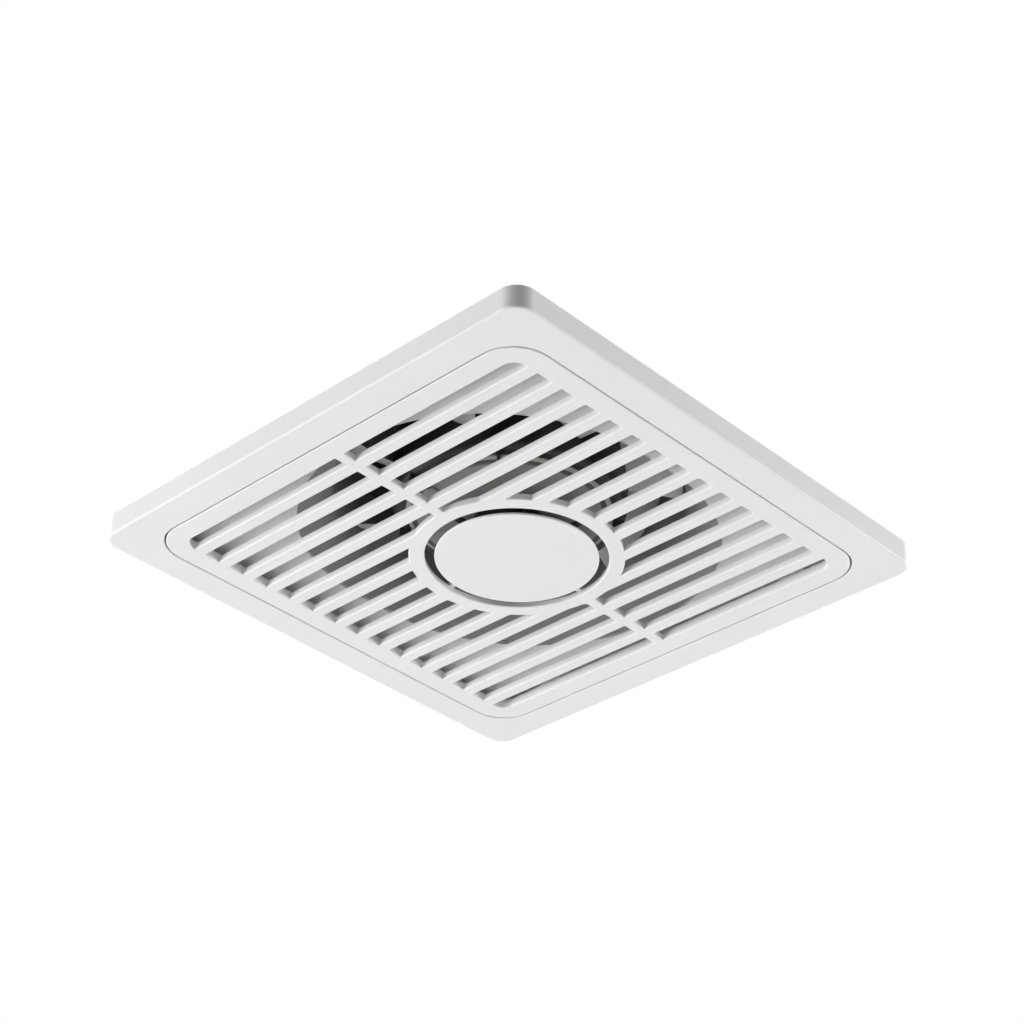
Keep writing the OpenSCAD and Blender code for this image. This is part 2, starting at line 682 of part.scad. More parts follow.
// Upper casing: sleeve, neck, cone and duct spigot in one revolved shell, with four inner bosses
module casing_shell() rotate_extrude() polygon([[sleeve_r, ring_top - sleeve_h],
    [sleeve_r, ring_top + seat], [neck_r, shoulder_z], [neck_r, neck_top],
    [spigot_hole_r, cone_top], [spigot_hole_r, spigot_top], [spigot_r, spigot_top],
    [spigot_r, cone_top + cone_lift], [neck_r + casing_wall, neck_top + cone_lift],
    [neck_r + casing_wall, shoulder_z + shoulder_lift],
    [sleeve_r + casing_wall, ring_top + seat + shoulder_lift],
    [sleeve_r + casing_wall, ring_top - sleeve_h]]);

// The space under the middle of the cone's wall, which trims the bosses
module under_cone() rotate_extrude() polygon([[0, neck_top], [neck_r, neck_top],
    [neck_r, neck_top + cone_lift], [spigot_hole_r, cone_top + cone_lift], [0, cone_top + cone_lift]]);

module along_pin(r, l) {
    translate([0, 0, flap_z]) rotate([90, 0, 0]) cylinder(r = r, h = l, center = true);
}

module upper_casing() color("lightgray") difference() {
    union() {
        casing_shell();
        for (k = [0 : 3]) rotate(45 + 90 * k) intersection() {
            translate([mount_reach, 0, mount_z + rubber_h]) cylinder(r = rubber_r, h = cone_h);
            under_cone();
        }
        translate([0, 0, ledge_top - ledge_t]) linear_extrude(ledge_t) difference() {
            circle(spigot_hole_r + casing_wall / 2);
            circle(flap_r - 1.5);
        }
    }
    for (k = [0 : 3]) rotate(45 + 90 * k) translate([mount_reach, 0, mount_z + rubber_h - 1])
        cylinder(r = bracket_screw_r + seat, h = thread_depth + 1.6);
    at_sleeve() cylinder(r = motor_screw_r + seat, h = 20, center = true);
    translate([-neck_r - 5, 0, lead_z]) rotate([0, 90, 0]) cylinder(r = grommet_r, h = 10);
    along_pin(pin_r + 0.02, 2 * spigot_r + 2);
}

module casing_screws() color("silver") at_sleeve()
    screw_down(motor_screw_r, 2.8, 1.8, casing_wall + seat + shroud_wall - 0.3);

// Flaps: two half discs that share one pin, with knuckles in turn, and rest on the spigot's ledge
module flap(side) difference() {
    union() {
        difference() {
            translate([0, 0, flap_z - flap_t / 2]) linear_extrude(flap_t) intersection() {
                circle(flap_r);
                translate([(side - 1) * flap_r / 2, -flap_r]) square([flap_r, 2 * flap_r]);
            }
            along_pin(knuckle_r + knuckle_gap, 2 * flap_r);
        }
        for (i = side > 0 ? [-2, 0, 2] : [-1, 1]) translate([0, i * knuckle_l, 0]) {
            along_pin(knuckle_r, knuckle_l - knuckle_gap);
            translate([side * (knuckle_r / 2 + 1), 0, flap_z])
                cube([knuckle_r + 2, knuckle_l - knuckle_gap, flap_t], center = true);
        }
    }
    along_pin(pin_r + pin_fit, 2 * spigot_r);
}

module flap_left() color("gray") flap(-1);

module flap_right() color("gray") flap(1);

module flap_pin() color("silver") along_pin(pin_r, 2 * spigot_r - 1);

// Terminal box: a small steel box on the shroud's deck, with what connects the motor
module at_cover_screws() {
    for (y = [-1, 1]) translate([box_x + 4.5, y * box_w * 0.3, box_top + box_wall + seat]) children();
}

module terminal_box() color("lightgray") difference() {
    translate([box_x, -box_w / 2, deck_top]) cube([box_d, box_w, box_h]);
    translate([box_x - 1, -box_w / 2 + box_wall, deck_top + box_wall])
        cube([box_d + 1 - box_wall, box_w - 2 * box_wall, box_h - 2 * box_wall]);
    translate([box_in - 3, 0, lead_z]) rotate([0, 90, 0]) cylinder(r = grommet_r, h = 6);
    translate([gland_x, -box_w / 2 - 1, gland_z]) rotate([-90, 0, 0]) cylinder(r = gland_r, h = 4);
    at_cover_screws() cylinder(r = thin_screw_r + seat, h = 10, center = true);
    at_box_screws() cylinder(r = motor_screw_r + seat, h = 10, center = true);
}

module terminal_cover() color("lightgray") difference() {
    lip = box_wall + seat;
    side_lip = 2.4;
    translate([box_x - box_wall, -box_w / 2 - lip, deck_top]) union() {
        cube([box_wall + side_lip, box_w + 2 * lip, box_h + lip]);
        translate([0, 0, box_h]) cube([10, box_w + 2 * lip, lip]);
    }
    translate([box_x, -box_w / 2 - seat, deck_top - 1]) cube([box_d, box_w + 2 * seat, box_h + 1 + seat]);
    at_cover_screws() cylinder(r = thin_screw_r + seat, h = 10, center = true);
}

module cover_screws() color("silver") at_cover_screws()
    screw_down(thin_screw_r, thin_head_r, 2, 2 * box_wall + seat + 3);

module box_screws() color("silver") at_box_screws()
    screw_down(motor_screw_r, box_head_r, 1.6, box_wall + deck_t - 0.3);

module terminal_block() color("ivory") {
    way = 10;
    h = 18;
    depth = 13;
    translate([block_x - depth, -1.5 * way, box_top - box_wall - h]) difference() {
        cube([depth, 3 * way, h]);
        for (i = [0 : 2]) translate([-1, way * (i + 0.5), 6]) rotate([0, 90, 0]) cylinder(r = 2.2, h = 8);
        for (i = [0 : 2]) translate([depth - 4, way * (i + 0.5), -1]) cylinder(r = 2, h = 10);
    }
}

// Capacitor: it stands on the box's floor, beside the head of the box's screw
module capacitor() color("black") {
    wide = box_d - box_wall - 3;
    long = box_screw_y - box_head_r - 0.9;
    high = 34;
    translate([box_x + 2, 0, deck_top + box_wall]) cube([wide, long, high]);
}

module cable_gland() color("dimgray") translate([gland_x, -box_w / 2, gland_z]) rotate([90, 0, 0])
    difference() {
        union() {
            translate([0, 0, -box_wall - 3]) rotate(30) cylinder(r = gland_r + 1.4, h = 3, $fn = 6);
            translate([0, 0, -box_wall - 5]) cylinder(r = gland_r - 0.1, h = 12);
            rotate(30) cylinder(r = gland_r + 1.6, h = 5, $fn = 6);
            translate([0, 0, 5]) cylinder(r1 = gland_r + 0.4, r2 = gland_r - 1.5, h = 8);
        }
        translate([0, 0, -box_wall - 6]) cylinder(r = gland_bore_r, h = 30);
    }

// Motor lead: it leaves the cap, hangs in a shallow bow and enters the terminal box
lead_x0 = -motor_r + motor_wall + 1;
bow_x0 = -motor_r - 2;
bow_x1 = -neck_r + 4;
lead_rings = 24;
lead_sides = 8;
function bow(x) = lead_z - lead_sag * (1 - cos(360 * max(0, min(1, (x - bow_x0) / (bow_x1 - bow_x0))))) / 2;

module motor_lead() color("dimgray") {
    n = lead_sides;
    last = lead_rings * n;
    points = [for (i = [0 : lead_rings]) let (x = mix(lead_x0, block_x, i / lead_rings))
        for (j = [0 : n - 1]) let (b = 360 * j / n) [x, lead_r * sin(b), bow(x) + lead_r * cos(b)]];
    skin = [for (i = [0 : lead_rings - 1], j = [0 : n - 1]) let (p = i * n + j, q = i * n + (j + 1) % n)
        each [[p, q, q + n], [p, q + n, p + n]]];
    ends = [[for (j = [n - 1 : -1 : 0]) j], [for (j = [0 : n - 1]) last + j]];
    polyhedron(points, concat(skin, ends));
}

// A grommet around the lead, in a wall that reaches from x = 0 to x = wall
module grommet(wall, flange) rotate([0, 90, 0]) rotate_extrude()
    polygon([[lead_r + 0.2, -flange], [grommet_r + 0.9, -flange], [grommet_r + 0.9, 0],
        [grommet_r - 0.05, 0], [grommet_r - 0.05, wall], [grommet_r + 0.9, wall],
        [grommet_r + 0.9, wall + flange], [lead_r + 0.2, wall + flange]]);

module casing_grommet() color("black") translate([-neck_r - casing_wall, 0, lead_z])
    grommet(casing_wall + 0.15, 1.2);

module box_grommet() color("black") translate([box_in - box_wall, 0, lead_z]) grommet(box_wall, 1.2);

// Screws of frame and shroud
module frame_screws() color("silver") at_corners(frame_screw_x, screw_line)
    translate([0, 0, plate_low - lug_t]) screw_up(thin_screw_r, thin_head_r, 2.2, lug_t + frame_screw_bite);

module shroud_screws() color("silver") at_corners(boss_xy, boss_xy)
    translate([0, 0, deck_top + seat]) screw_down(thin_screw_r, shroud_head_r, 1.6, 2.6);

trim_frame();
grille_panel();
centre_disc();
panel_clips();
orifice_plate();
fan_shroud();
impeller();
impeller_nut();
motor_shaft();
rotor();
stator_core();
stator_coils();
motor_case();
motor_cap();
lower_bearing();
upper_bearing();
motor_bracket();
rubber_mounts();
bracket_screws();
motor_screws();
upper_casing();
casing_screws();
flap_left();
flap_right();
flap_pin();
terminal_box();
terminal_cover();
cover_screws();
box_screws();
terminal_block();
capacitor();
cable_gland();
motor_lead();
casing_grommet();
box_grommet();
frame_screws();
shroud_screws();
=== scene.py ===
from math import pi, radians
import bmesh
import bpy
import numpy as np
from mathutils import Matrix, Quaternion, Vector


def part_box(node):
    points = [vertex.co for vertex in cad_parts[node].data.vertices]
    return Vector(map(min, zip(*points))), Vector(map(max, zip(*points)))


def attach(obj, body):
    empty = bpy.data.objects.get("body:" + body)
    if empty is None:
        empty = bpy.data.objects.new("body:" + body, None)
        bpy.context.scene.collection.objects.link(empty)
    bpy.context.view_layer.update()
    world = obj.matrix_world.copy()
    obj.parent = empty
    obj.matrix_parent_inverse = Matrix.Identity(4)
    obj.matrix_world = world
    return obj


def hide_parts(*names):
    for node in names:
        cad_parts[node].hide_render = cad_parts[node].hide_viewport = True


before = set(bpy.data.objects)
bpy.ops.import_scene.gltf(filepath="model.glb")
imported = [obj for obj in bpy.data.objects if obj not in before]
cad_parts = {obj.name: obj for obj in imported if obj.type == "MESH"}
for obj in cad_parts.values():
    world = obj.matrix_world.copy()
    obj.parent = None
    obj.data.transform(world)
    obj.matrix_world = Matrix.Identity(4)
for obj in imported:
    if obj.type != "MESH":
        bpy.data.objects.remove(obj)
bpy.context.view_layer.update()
print("frame loaded")

# Ceiling fan seen from below. Lengths in the code are millimetres, the mesh is in metres.
mm = 0.001
corners = [(-1, -1), (-1, 1), (1, -1), (1, 1)]   # signs of x and y, one pair per corner
diagonals = [pi / 4 + quarter * pi / 2 for quarter in range(4)]
joining = {
    "weld": 1e-6,          # metres; points closer than this become one
    "flat": 0.4,           # degrees; flatter neighbours become one face
    "sharp": 40,           # degrees; steeper edges of sheet metal are broken
    "normalWeight": 60,
}


def reach(node):
    # Half width along X and the lowest and highest z of a CAD node, in millimetres
    low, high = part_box(node)
    return high.x / mm, low.z / mm, high.z / mm


# Helpers for surfaces

def cornerRing(half, radius, steps=12):
    # Rounded square: (+-m, +-m) + radius * (cos a, sin a) with m = half - radius, a quarter turn each
    quarter = np.arange(4)[:, None] * pi / 2
    angle = quarter + np.linspace(0, pi / 2, steps + 1)
    middle = half - radius
    x = np.sign(np.cos(quarter + pi / 4)) * middle + radius * np.cos(angle)
    y = np.sign(np.sin(quarter + pi / 4)) * middle + radius * np.sin(angle)
    return np.stack([x, y], axis=-1).reshape(-1, 2)


def polar(radius, angle):
    # (radius * cos a, radius * sin a)
    return np.stack([radius * np.cos(angle), radius * np.sin(angle)], axis=-1)


def atHeight(plan, z):
    # A flat outline lifted to the height z
    return np.column_stack([plan, np.full(len(plan), float(z))])


def bend(cx, cz, radius, start, end, steps):
    # Arc in a section: (cx + radius * cos a, cz + radius * sin a)
    return polar(radius, np.radians(np.linspace(start, end, steps + 1))) + (cx, cz)


def gridFaces(rows, columns, closeRows=False):
    # Four-sided faces between neighbouring rows; the columns close on themselves, the rows can
    row = np.arange(rows if closeRows else rows - 1)[:, None]
    column = np.arange(columns)[None, :]
    nextRow = (row + 1) % rows
    nextColumn = (column + 1) % columns
    square = [row * columns + column, row * columns + nextColumn,
              nextRow * columns + nextColumn, nextRow * columns + column]
    return np.stack(np.broadcast_arrays(*square), axis=-1).reshape(-1, 4)


def loft(rings, closeRows=False):
    # Joins outlines of equal length into a skin
    points = np.stack(rings)
    return points.reshape(-1, 3), gridFaces(points.shape[0], points.shape[1], closeRows)


def revolve(section, steps=128, centre=(0.0, 0.0), closeSection=False):
    # Turned surface: (cx + r * cos a, cy + r * sin a, z) for each (r, z) of the section
    section = np.asarray(section, float)
    angle = np.arange(steps) * 2 * pi / steps
    x = centre[0] + section[:, :1] * np.cos(angle)
    y = centre[1] + section[:, :1] * np.sin(angle)
    z = np.broadcast_to(section[:, 1:], x.shape)
    return np.stack([x, y, z], axis=-1).reshape(-1, 3), gridFaces(len(section), steps, closeSection)


def block(low, high):
    # A box between two corners
    pick = np.array([[0, 0, 0], [1, 0, 0], [1, 1, 0], [0, 1, 0],
                     [0, 0, 1], [1, 0, 1], [1, 1, 1], [0, 1, 1]])
    points = np.where(pick == 1, np.asarray(high, float), np.asarray(low, float))
    faces = np.array([[0, 3, 2, 1], [4, 5, 6, 7], [0, 1, 5, 4],
                      [1, 2, 6, 5], [2, 3, 7, 6], [3, 0, 4, 7]])
    return points, faces


def turned(part, angle):
    # Turns a part about the fan's axis
    points, faces = part
    c, s = np.cos(angle), np.sin(angle)
    x, y, z = points.T
    return np.column_stack([x * c - y * s, x * s + y * c, z]), faces


def filled(outlines, z):
    # Flat sheet between the first outline and the others, which are holes
    curve = bpy.data.curves.new("outline", "CURVE")
    curve.dimensions = "2D"
    curve.fill_mode = "BOTH"
    for outline in outlines:
        spline = curve.splines.new("POLY")
        spline.points.add(len(outline) - 1)
        flat = np.zeros((len(outline), 4))
        flat[:, :2] = outline
        flat[:, 3] = 1
        spline.points.foreach_set("co", flat.ravel())
        spline.use_cyclic_u = True
    holder = bpy.data.objects.new("outline", curve)
    sheet = bpy.data.meshes.new_from_object(holder)
    flat = np.zeros(len(sheet.vertices) * 3)
    sheet.vertices.foreach_get("co", flat)
    points = flat.reshape(-1, 3)
    points[:, 2] = z
    faces = [list(face.vertices) for face in sheet.polygons]
    bpy.data.objects.remove(holder)
    bpy.data.curves.remove(curve)
    bpy.data.meshes.remove(sheet)
    return points, faces


def build(name, parts, body, node, material, smooth=35):
    # One object from parts in millimetres; touching outlines are welded and faces turned outwards
    points, faces, start = [], [], 0
    for partPoints, partFaces in parts:
        points.append(partPoints * mm)
        if isinstance(partFaces, np.ndarray):
            faces += (partFaces + start).tolist()
        else:
            faces += [[i + start for i in face] for face in partFaces]
        start += len(partPoints)
    mesh = bpy.data.meshes.new(name)
    mesh.from_pydata(np.concatenate(points).tolist(), [], faces)
    work = bmesh.new()
    work.from_mesh(mesh)
    bmesh.ops.remove_doubles(work, verts=work.verts, dist=joining["weld"])
    bmesh.ops.recalc_face_normals(work, faces=work.faces)
    work.to_mesh(mesh)
    work.free()
    mesh.polygons.foreach_set("use_smooth", np.ones(len(mesh.polygons), bool))
    mesh.set_sharp_from_angle(angle=radians(smooth))
    mesh.materials.append(material)
    piece = bpy.data.objects.new(name, mesh)
    bpy.context.collection.objects.link(piece)
    weighted = piece.modifiers.new("weighted", "WEIGHTED_NORMAL")
    weighted.keep_sharp = True
    weighted.weight = joining["normalWeight"]
    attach(piece, body)
    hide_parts(node)


# Materials

def newMaterial(name):
    material = bpy.data.materials.new(name)
    material.use_nodes = True
    tree = material.node_tree
    return material, tree, tree.nodes["Principled BSDF"]


def noiseNode(tree, scale, detail, roughness=0.5, stretch=(1.0, 1.0, 1.0)):
    # Noise in object coordinates; stretch squeezes it along an axis
    place = tree.nodes.new("ShaderNodeTexCoord")
    squeeze = tree.nodes.new("ShaderNodeMapping")
    squeeze.inputs["Scale"].default_value = stretch
    noise = tree.nodes.new("ShaderNodeTexNoise")
    noise.inputs["Scale"].default_value = scale
    noise.inputs["Detail"].default_value = detail
    noise.inputs["Roughness"].default_value = roughness
    tree.links.new(place.outputs["Object"], squeeze.inputs["Vector"])
    tree.links.new(squeeze.outputs["Vector"], noise.inputs["Vector"])
    return noise


def colourBlend(tree, shader, factor, first, second):
    # Colour between two values, driven by a factor
    blend = tree.nodes.new("ShaderNodeMix")
    blend.data_type = "RGBA"
    blend.inputs["A"].default_value = (*first, 1)
    blend.inputs["B"].default_value = (*second, 1)
    tree.links.new(factor, blend.inputs["Factor"])
    tree.links.new(blend.outputs["Result"], shader.inputs["Base Color"])
    return blend


def rangeNode(tree, value, low, high, fromLow=0.3, fromHigh=0.7):
    spread = tree.nodes.new("ShaderNodeMapRange")
    spread.inputs["From Min"].default_value = fromLow
    spread.inputs["From Max"].default_value = fromHigh
    spread.inputs["To Min"].default_value = low
    spread.inputs["To Max"].default_value = high
    tree.links.new(value, spread.inputs["Value"])
    return spread


def bumpNode(tree, shader, height, strength, distance):
    bump = tree.nodes.new("ShaderNodeBump")
    bump.inputs["Strength"].default_value = strength
    bump.inputs["Distance"].default_value = distance
    tree.links.new(height, bump.inputs["Height"])
    tree.links.new(bump.outputs["Normal"], shader.inputs["Normal"])


surface = {
    "cloudScale": 14,          # faint clouds in the tone of moulded plastic
    "cloudDetail": 3,
    "grainScale": 2600,        # fine grain of its skin
    "grainDetail": 4,
    "plasticGloss": 0.15,      # how much the roughness varies
    "plasticBump": 0.35,
    "brushDetail": 3,          # brushed lines of metal
    "mottleScale": 60,         # its blotches
    "mottleDetail": 4,
    "metalGloss": 0.3,
    "metalBump": 0.3,
    "metalDepth": 0.00002,     # metres
    "layerWobble": 0.4,        # unevenness of wound or stacked layers
    "layerDetail": 2,
    "layerGrainScale": 1500,
    "layerGrainDetail": 3,
    "layerGloss": 0.2,
    "layerBump": 0.6,
    "noiseRough": 0.6,
}


def glossFrom(tree, shader, noise, rough, spread):
    # Roughness between rough * (1 - spread) and rough * (1 + spread)
    gloss = rangeNode(tree, noise.outputs["Fac"], rough * (1 - spread), rough * (1 + spread))
    tree.links.new(gloss.outputs["Result"], shader.inputs["Roughness"])


def plastic(name, colour, rough, grain=0.00002, shade=0.97, specular=0.5):
    # Moulded plastic: faint cloudy tone, fine grain and a little change of gloss
    material, tree, shader = newMaterial(name)
    cloud = noiseNode(tree, surface["cloudScale"], surface["cloudDetail"])
    fine = noiseNode(tree, surface["grainScale"], surface["grainDetail"], surface["noiseRough"])
    tone = rangeNode(tree, cloud.outputs["Fac"], 0, 1)
    colourBlend(tree, shader, tone.outputs["Result"], tuple(c * shade for c in colour), colour)
    glossFrom(tree, shader, fine, rough, surface["plasticGloss"])
    bumpNode(tree, shader, fine.outputs["Fac"], surface["plasticBump"], grain)
    shader.inputs["Specular IOR Level"].default_value = specular
    return material


def metal(name, colour, rough, stretch=(1, 1, 1), dark=0.8, metallic=1.0, scale=900):
    # Sheet or turned metal: fine brushed lines, mottled tone
    material, tree, shader = newMaterial(name)
    lines = noiseNode(tree, scale, surface["brushDetail"], surface["noiseRough"], stretch)
    mottle = noiseNode(tree, surface["mottleScale"], surface["mottleDetail"], surface["noiseRough"])
    tone = rangeNode(tree, mottle.outputs["Fac"], 0, 1)
    colourBlend(tree, shader, tone.outputs["Result"], tuple(c * dark for c in colour), colour)
    glossFrom(tree, shader, lines, rough, surface["metalGloss"])
    bumpNode(tree, shader, lines.outputs["Fac"], surface["metalBump"], surface["metalDepth"])
    shader.inputs["Metallic"].default_value = metallic
    return material


def banded(name, colour, second, rough, pitch, metallic, depth):
    # Layers such as stacked sheets or wound wire: waves along Z
    material, tree, shader = newMaterial(name)
    place = tree.nodes.new("ShaderNodeTexCoord")
    wave = tree.nodes.new("ShaderNodeTexWave")
    wave.bands_direction = "Z"
    wave.inputs["Scale"].default_value = 1 / (pitch * 2 * pi)
    wave.inputs["Distortion"].default_value = surface["layerWobble"]
    wave.inputs["Detail"].default_value = surface["layerDetail"]
    tree.links.new(place.outputs["Object"], wave.inputs["Vector"])
    colourBlend(tree, shader, wave.outputs["Fac"], second, colour)
    fine = noiseNode(tree, surface["layerGrainScale"], surface["layerGrainDetail"])
    glossFrom(tree, shader, fine, rough, surface["layerGloss"])
    bumpNode(tree, shader, wave.outputs["Fac"], surface["layerBump"], depth)
    shader.inputs["Metallic"].default_value = metallic
    return material


def paintLightAndShade(material, centre, above, bands, soft=0.2):
    # Painted light and shade: multiplies the colour by a tone that goes with the distance from an
    # upright axis; below the height above it leaves the colour as it is
    tree = material.node_tree
    shader = tree.nodes["Principled BSDF"]
    place = tree.nodes.new("ShaderNodeTexCoord")
    flat = tree.nodes.new("ShaderNodeMapping")
    flat.inputs["Location"].default_value = (-centre[0] * mm, -centre[1] * mm, 0)
    flat.inputs["Scale"].default_value = (1, 1, 0)
    length = tree.nodes.new("ShaderNodeVectorMath")
    length.operation = "LENGTH"
    height = tree.nodes.new("ShaderNodeSeparateXYZ")
    tree.links.new(place.outputs["Object"], flat.inputs["Vector"])
    tree.links.new(flat.outputs["Vector"], length.inputs[0])
    tree.links.new(place.outputs["Object"], height.inputs["Vector"])
    first, last = bands[0][0], bands[-1][0]
    away = rangeNode(tree, length.outputs["Value"], 0, 1, first * mm, last * mm)
    reached = rangeNode(tree, height.outputs["Z"], 0, 1, (above - soft) * mm, (above + soft) * mm)
    ramp = tree.nodes.new("ShaderNodeValToRGB")
    stops = ramp.color_ramp.elements
    for index, (radius, tone) in enumerate(bands):
        stop = stops[index] if index < 2 else stops.new(1.0)
        stop.position = (radius - first) / (last - first)
        stop.color = (tone, tone, tone, 1)
    tree.links.new(away.outputs["Result"], ramp.inputs["Fac"])
    shade = tree.nodes.new("ShaderNodeMix")
    shade.data_type = "RGBA"
    shade.blend_type = "MULTIPLY"
    tree.links.new(reached.outputs["Result"], shade.inputs["Factor"])
    tree.links.new(shader.inputs["Base Color"].links[0].from_socket, shade.inputs["A"])
    tree.links.new(ramp.outputs["Color"], shade.inputs["B"])
    tree.links.new(shade.outputs["Result"], shader.inputs["Base Color"])


plastics = {
    # colour, roughness, and what else differs from plain moulded plastic
    "trimWhite": ((0.795, 0.80, 0.802), 0.5, {"specular": 0.22}),
    "panelWhite": ((0.795, 0.80, 0.802), 0.5, {"specular": 0.22}),
    "discWhite": ((0.80, 0.80, 0.80), 0.42, {"specular": 0.3}),
    "plateWhite": ((0.86, 0.86, 0.865), 0.5, {}),
    "shroudGrey": ((0.36, 0.36, 0.365), 0.55, {"shade": 0.94}),
    "impellerGrey": ((0.74, 0.73, 0.705), 0.38, {"shade": 0.95}),
    "casingGrey": ((0.15, 0.15, 0.155), 0.5, {"shade": 0.94}),
    "blackPlastic": ((0.035, 0.035, 0.038), 0.45, {"shade": 0.8}),
    "blackRubber": ((0.028, 0.028, 0.028), 0.75, {"grain": 0.00006, "shade": 0.75}),
    "blockIvory": ((0.66, 0.62, 0.50), 0.4, {}),
}
metals = {
    "boxSteel": ((0.50, 0.51, 0.52), 0.42, {"dark": 0.93, "metallic": 0.0, "scale": 1800}),
    "motorSteel": ((0.42, 0.43, 0.45), 0.4, {"dark": 0.92, "metallic": 0.3, "scale": 1500}),
    "zincSteel": ((0.66, 0.66, 0.64), 0.35, {"stretch": (1, 1, 6)}),
}
layers = {
    # colour, colour between the layers, roughness, pitch in metres, metallic, depth in metres
    "coreSteel": ((0.36, 0.36, 0.37), (0.16, 0.16, 0.165), 0.45, 0.0005, 0.9, 0.0001),
    "winding": ((0.55, 0.20, 0.06), (0.25, 0.08, 0.02), 0.3, 0.0007, 0.8, 0.0002),
}
paintedLightAndShade = {
    # centre, height from which it holds, and tone by the distance from the axis
    # Hub: painted shade round the nut, grey dome, a painted highlight on the rim's step with painted
    # shade on either side of it, the darkest painted shade on the shoulder and side, light blades
    # from 62.5 outwards
    "impellerGrey": ((0, 0), -20, [(0, 0.1), (18, 0.1), (20, 0.66), (49, 0.66),
                                   (49.3, 0.2), (51.7, 0.2), (52, 0.85), (54.4, 0.85),
                                   (54.7, 0.045), (62.2, 0.045), (62.5, 1.0), (70, 1.0)]),
    # Disc: white in front; painted shade makes the rib and the inner ends of the bridges behind it
    # dark
    "discWhite": ((0, 6.5), -11.3, [(0, 0.04), (45, 0.04), (46, 1.0), (60, 1.0)]),
}
paint = {}
for name, (colour, rough, extra) in plastics.items():
    paint[name] = plastic(name, colour, rough, **extra)
for name, (colour, rough, extra) in metals.items():
    paint[name] = metal(name, colour, rough, **extra)
for name, values in layers.items():
    paint[name] = banded(name, *values)
# Painted shade, with a painted highlight on the hub's rim, multiplied into two materials
for name, values in paintedLightAndShade.items():
    paintLightAndShade(paint[name], *values)
print("materials made")

nodeFinish = {
    "trimWhite": "trim_frame",
    "panelWhite": "grille_panel",
    "discWhite": "centre_disc",
    "plateWhite": "orifice_plate",
    "shroudGrey": "fan_shroud",
    "impellerGrey": "impeller",
    "casingGrey": "upper_casing flap_left flap_right",
    "zincSteel": "panel_clips impeller_nut motor_shaft lower_bearing upper_bearing motor_bracket "
                 "flap_pin bracket_screws motor_screws casing_screws cover_screws box_screws "
                 "frame_screws shroud_screws",
    "coreSteel": "rotor stator_core",
    "winding": "stator_coils",
    "motorSteel": "motor_case motor_cap",
    "boxSteel": "terminal_box terminal_cover",
    "blockIvory": "terminal_block",
    "blackPlastic": "capacitor cable_gland",
    "blackRubber": "rubber_mounts motor_lead casing_grommet box_grommet",
}
for name, nodeNames in nodeFinish.items():
    for nodeName in nodeNames.split():
        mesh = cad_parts[nodeName].data
        mesh.materials.clear()
        mesh.materials.append(paint[name])

# Trim frame: one section swept round the square

trim = {
    "edge": 1.2,               # rounding of the front edge
    "innerEdge": 0.5,          # rounding towards the panel
    "wall": 2.5,
    "topBand": 3.0,            # width of the wall beside the plate
    "cornerRadius": 10.5,
    "openingHalf": 132.5,
    "openingRadius": 21.0,
    "lug": (16.0, 7.65, 2.0),   # length, depth and thickness
    "lugPlace": (88.0, 129.2),  # where its screw passes
    "lugInside": 3.6,          # from the screw to the side towards the opening
}
trimHalf, trimFace, trimTop = reach("trim_frame")
plateLow = reach("orifice_plate")[1]


def trimStations():
    # (half width, corner radius, z) along the section, from the ceiling round the front to the lip
    e, g, wall = trim["edge"], trim["innerEdge"], trim["wall"]
    opening, band = trim["openingHalf"], trimHalf - trim["topBand"]
    outer = bend(trimHalf - e, trimFace + e, e, 0, -90, 8)
    inner = bend(opening + g, trimFace + g, g, -90, -180, 5)
    lip, back = opening + wall, trimFace + wall
    halves = np.concatenate([[band, trimHalf], outer[:, 0], inner[:, 0],
                             [opening, lip, lip, trimHalf - wall, trimHalf - wall, band]])
    heights = np.concatenate([[trimTop, trimTop], outer[:, 1], inner[:, 1],
                              [plateLow, plateLow, back, back, plateLow, plateLow]])
    outerRadius = trim["cornerRadius"] - (trimHalf - halves)
    innerRadius = trim["openingRadius"] + (halves - opening)
    isOuter = halves > (trimHalf + opening) / 2
    return zip(halves, np.where(isOuter, outerRadius, innerRadius), heights)


trimRings = [atHeight(cornerRing(half, radius, 16), z) for half, radius, z in trimStations()]
trimParts = [loft(trimRings, True)]
lugLong, lugDeep, lugThick = trim["lug"]
for sideX, sideY in corners:
    x, y = sideX * trim["lugPlace"][0], sideY * trim["lugPlace"][1]
    near, far = sorted([y - sideY * trim["lugInside"], y + sideY * (lugDeep - trim["lugInside"])])
    trimParts.append(block((x - lugLong / 2, near, plateLow - lugThick),
                           (x + lugLong / 2, far, plateLow)))
build("trimShell", trimParts, "fan_body", "trim_frame", paint["trimWhite"])
print("trim frame made")

# Grille panel: border, slats, crossbar and ring share one face with rounded slot edges

panel = {
    "windowHalf": 119.5,
    "windowRadius": 8.0,
    "cornerRadius": 20.0,
    "outerEdge": 0.6,
    "slotEdge": 0.8,      # rounding of the slot edges
    "slotCorner": 0.5,    # fillet in the corners of each slot
    "firstSlot": 8.0,
    "slat": 7.1,
    "pitch": 16.58,
    "slats": 14,
    "barHalf": 3.0,
    "ringY": 6.5,
    "ringOuter": 56.5,
    "ringInner": 48.3,
    "ringFillet": 2.0,    # where the ring meets the crossbar
    "slatBack": 3.8,
    "ringBack": 3.2,      # the ring is thinner than the slats up to the middle of its band
    "rimBack": 6.0,
    "borderBack": 3.0,
    "windowRim": (1.0, 2.0),   # the low rim round the window, measured outwards from it
    "wall": 2.0,
    "tonguePlace": (127.8, 55.0),
    "tongueHalf": (1.0, 4.0),
    "tongueSink": 0.01,   # how far the tongues start inside the border
}
panelHalf, panelFace, panelTop = reach("grille_panel")
slatCentres = panel["pitch"] * np.arange(panel["slats"])
slatCentres += -panel["windowHalf"] + panel["firstSlot"] + panel["slat"] / 2
ringY = panel["ringY"]


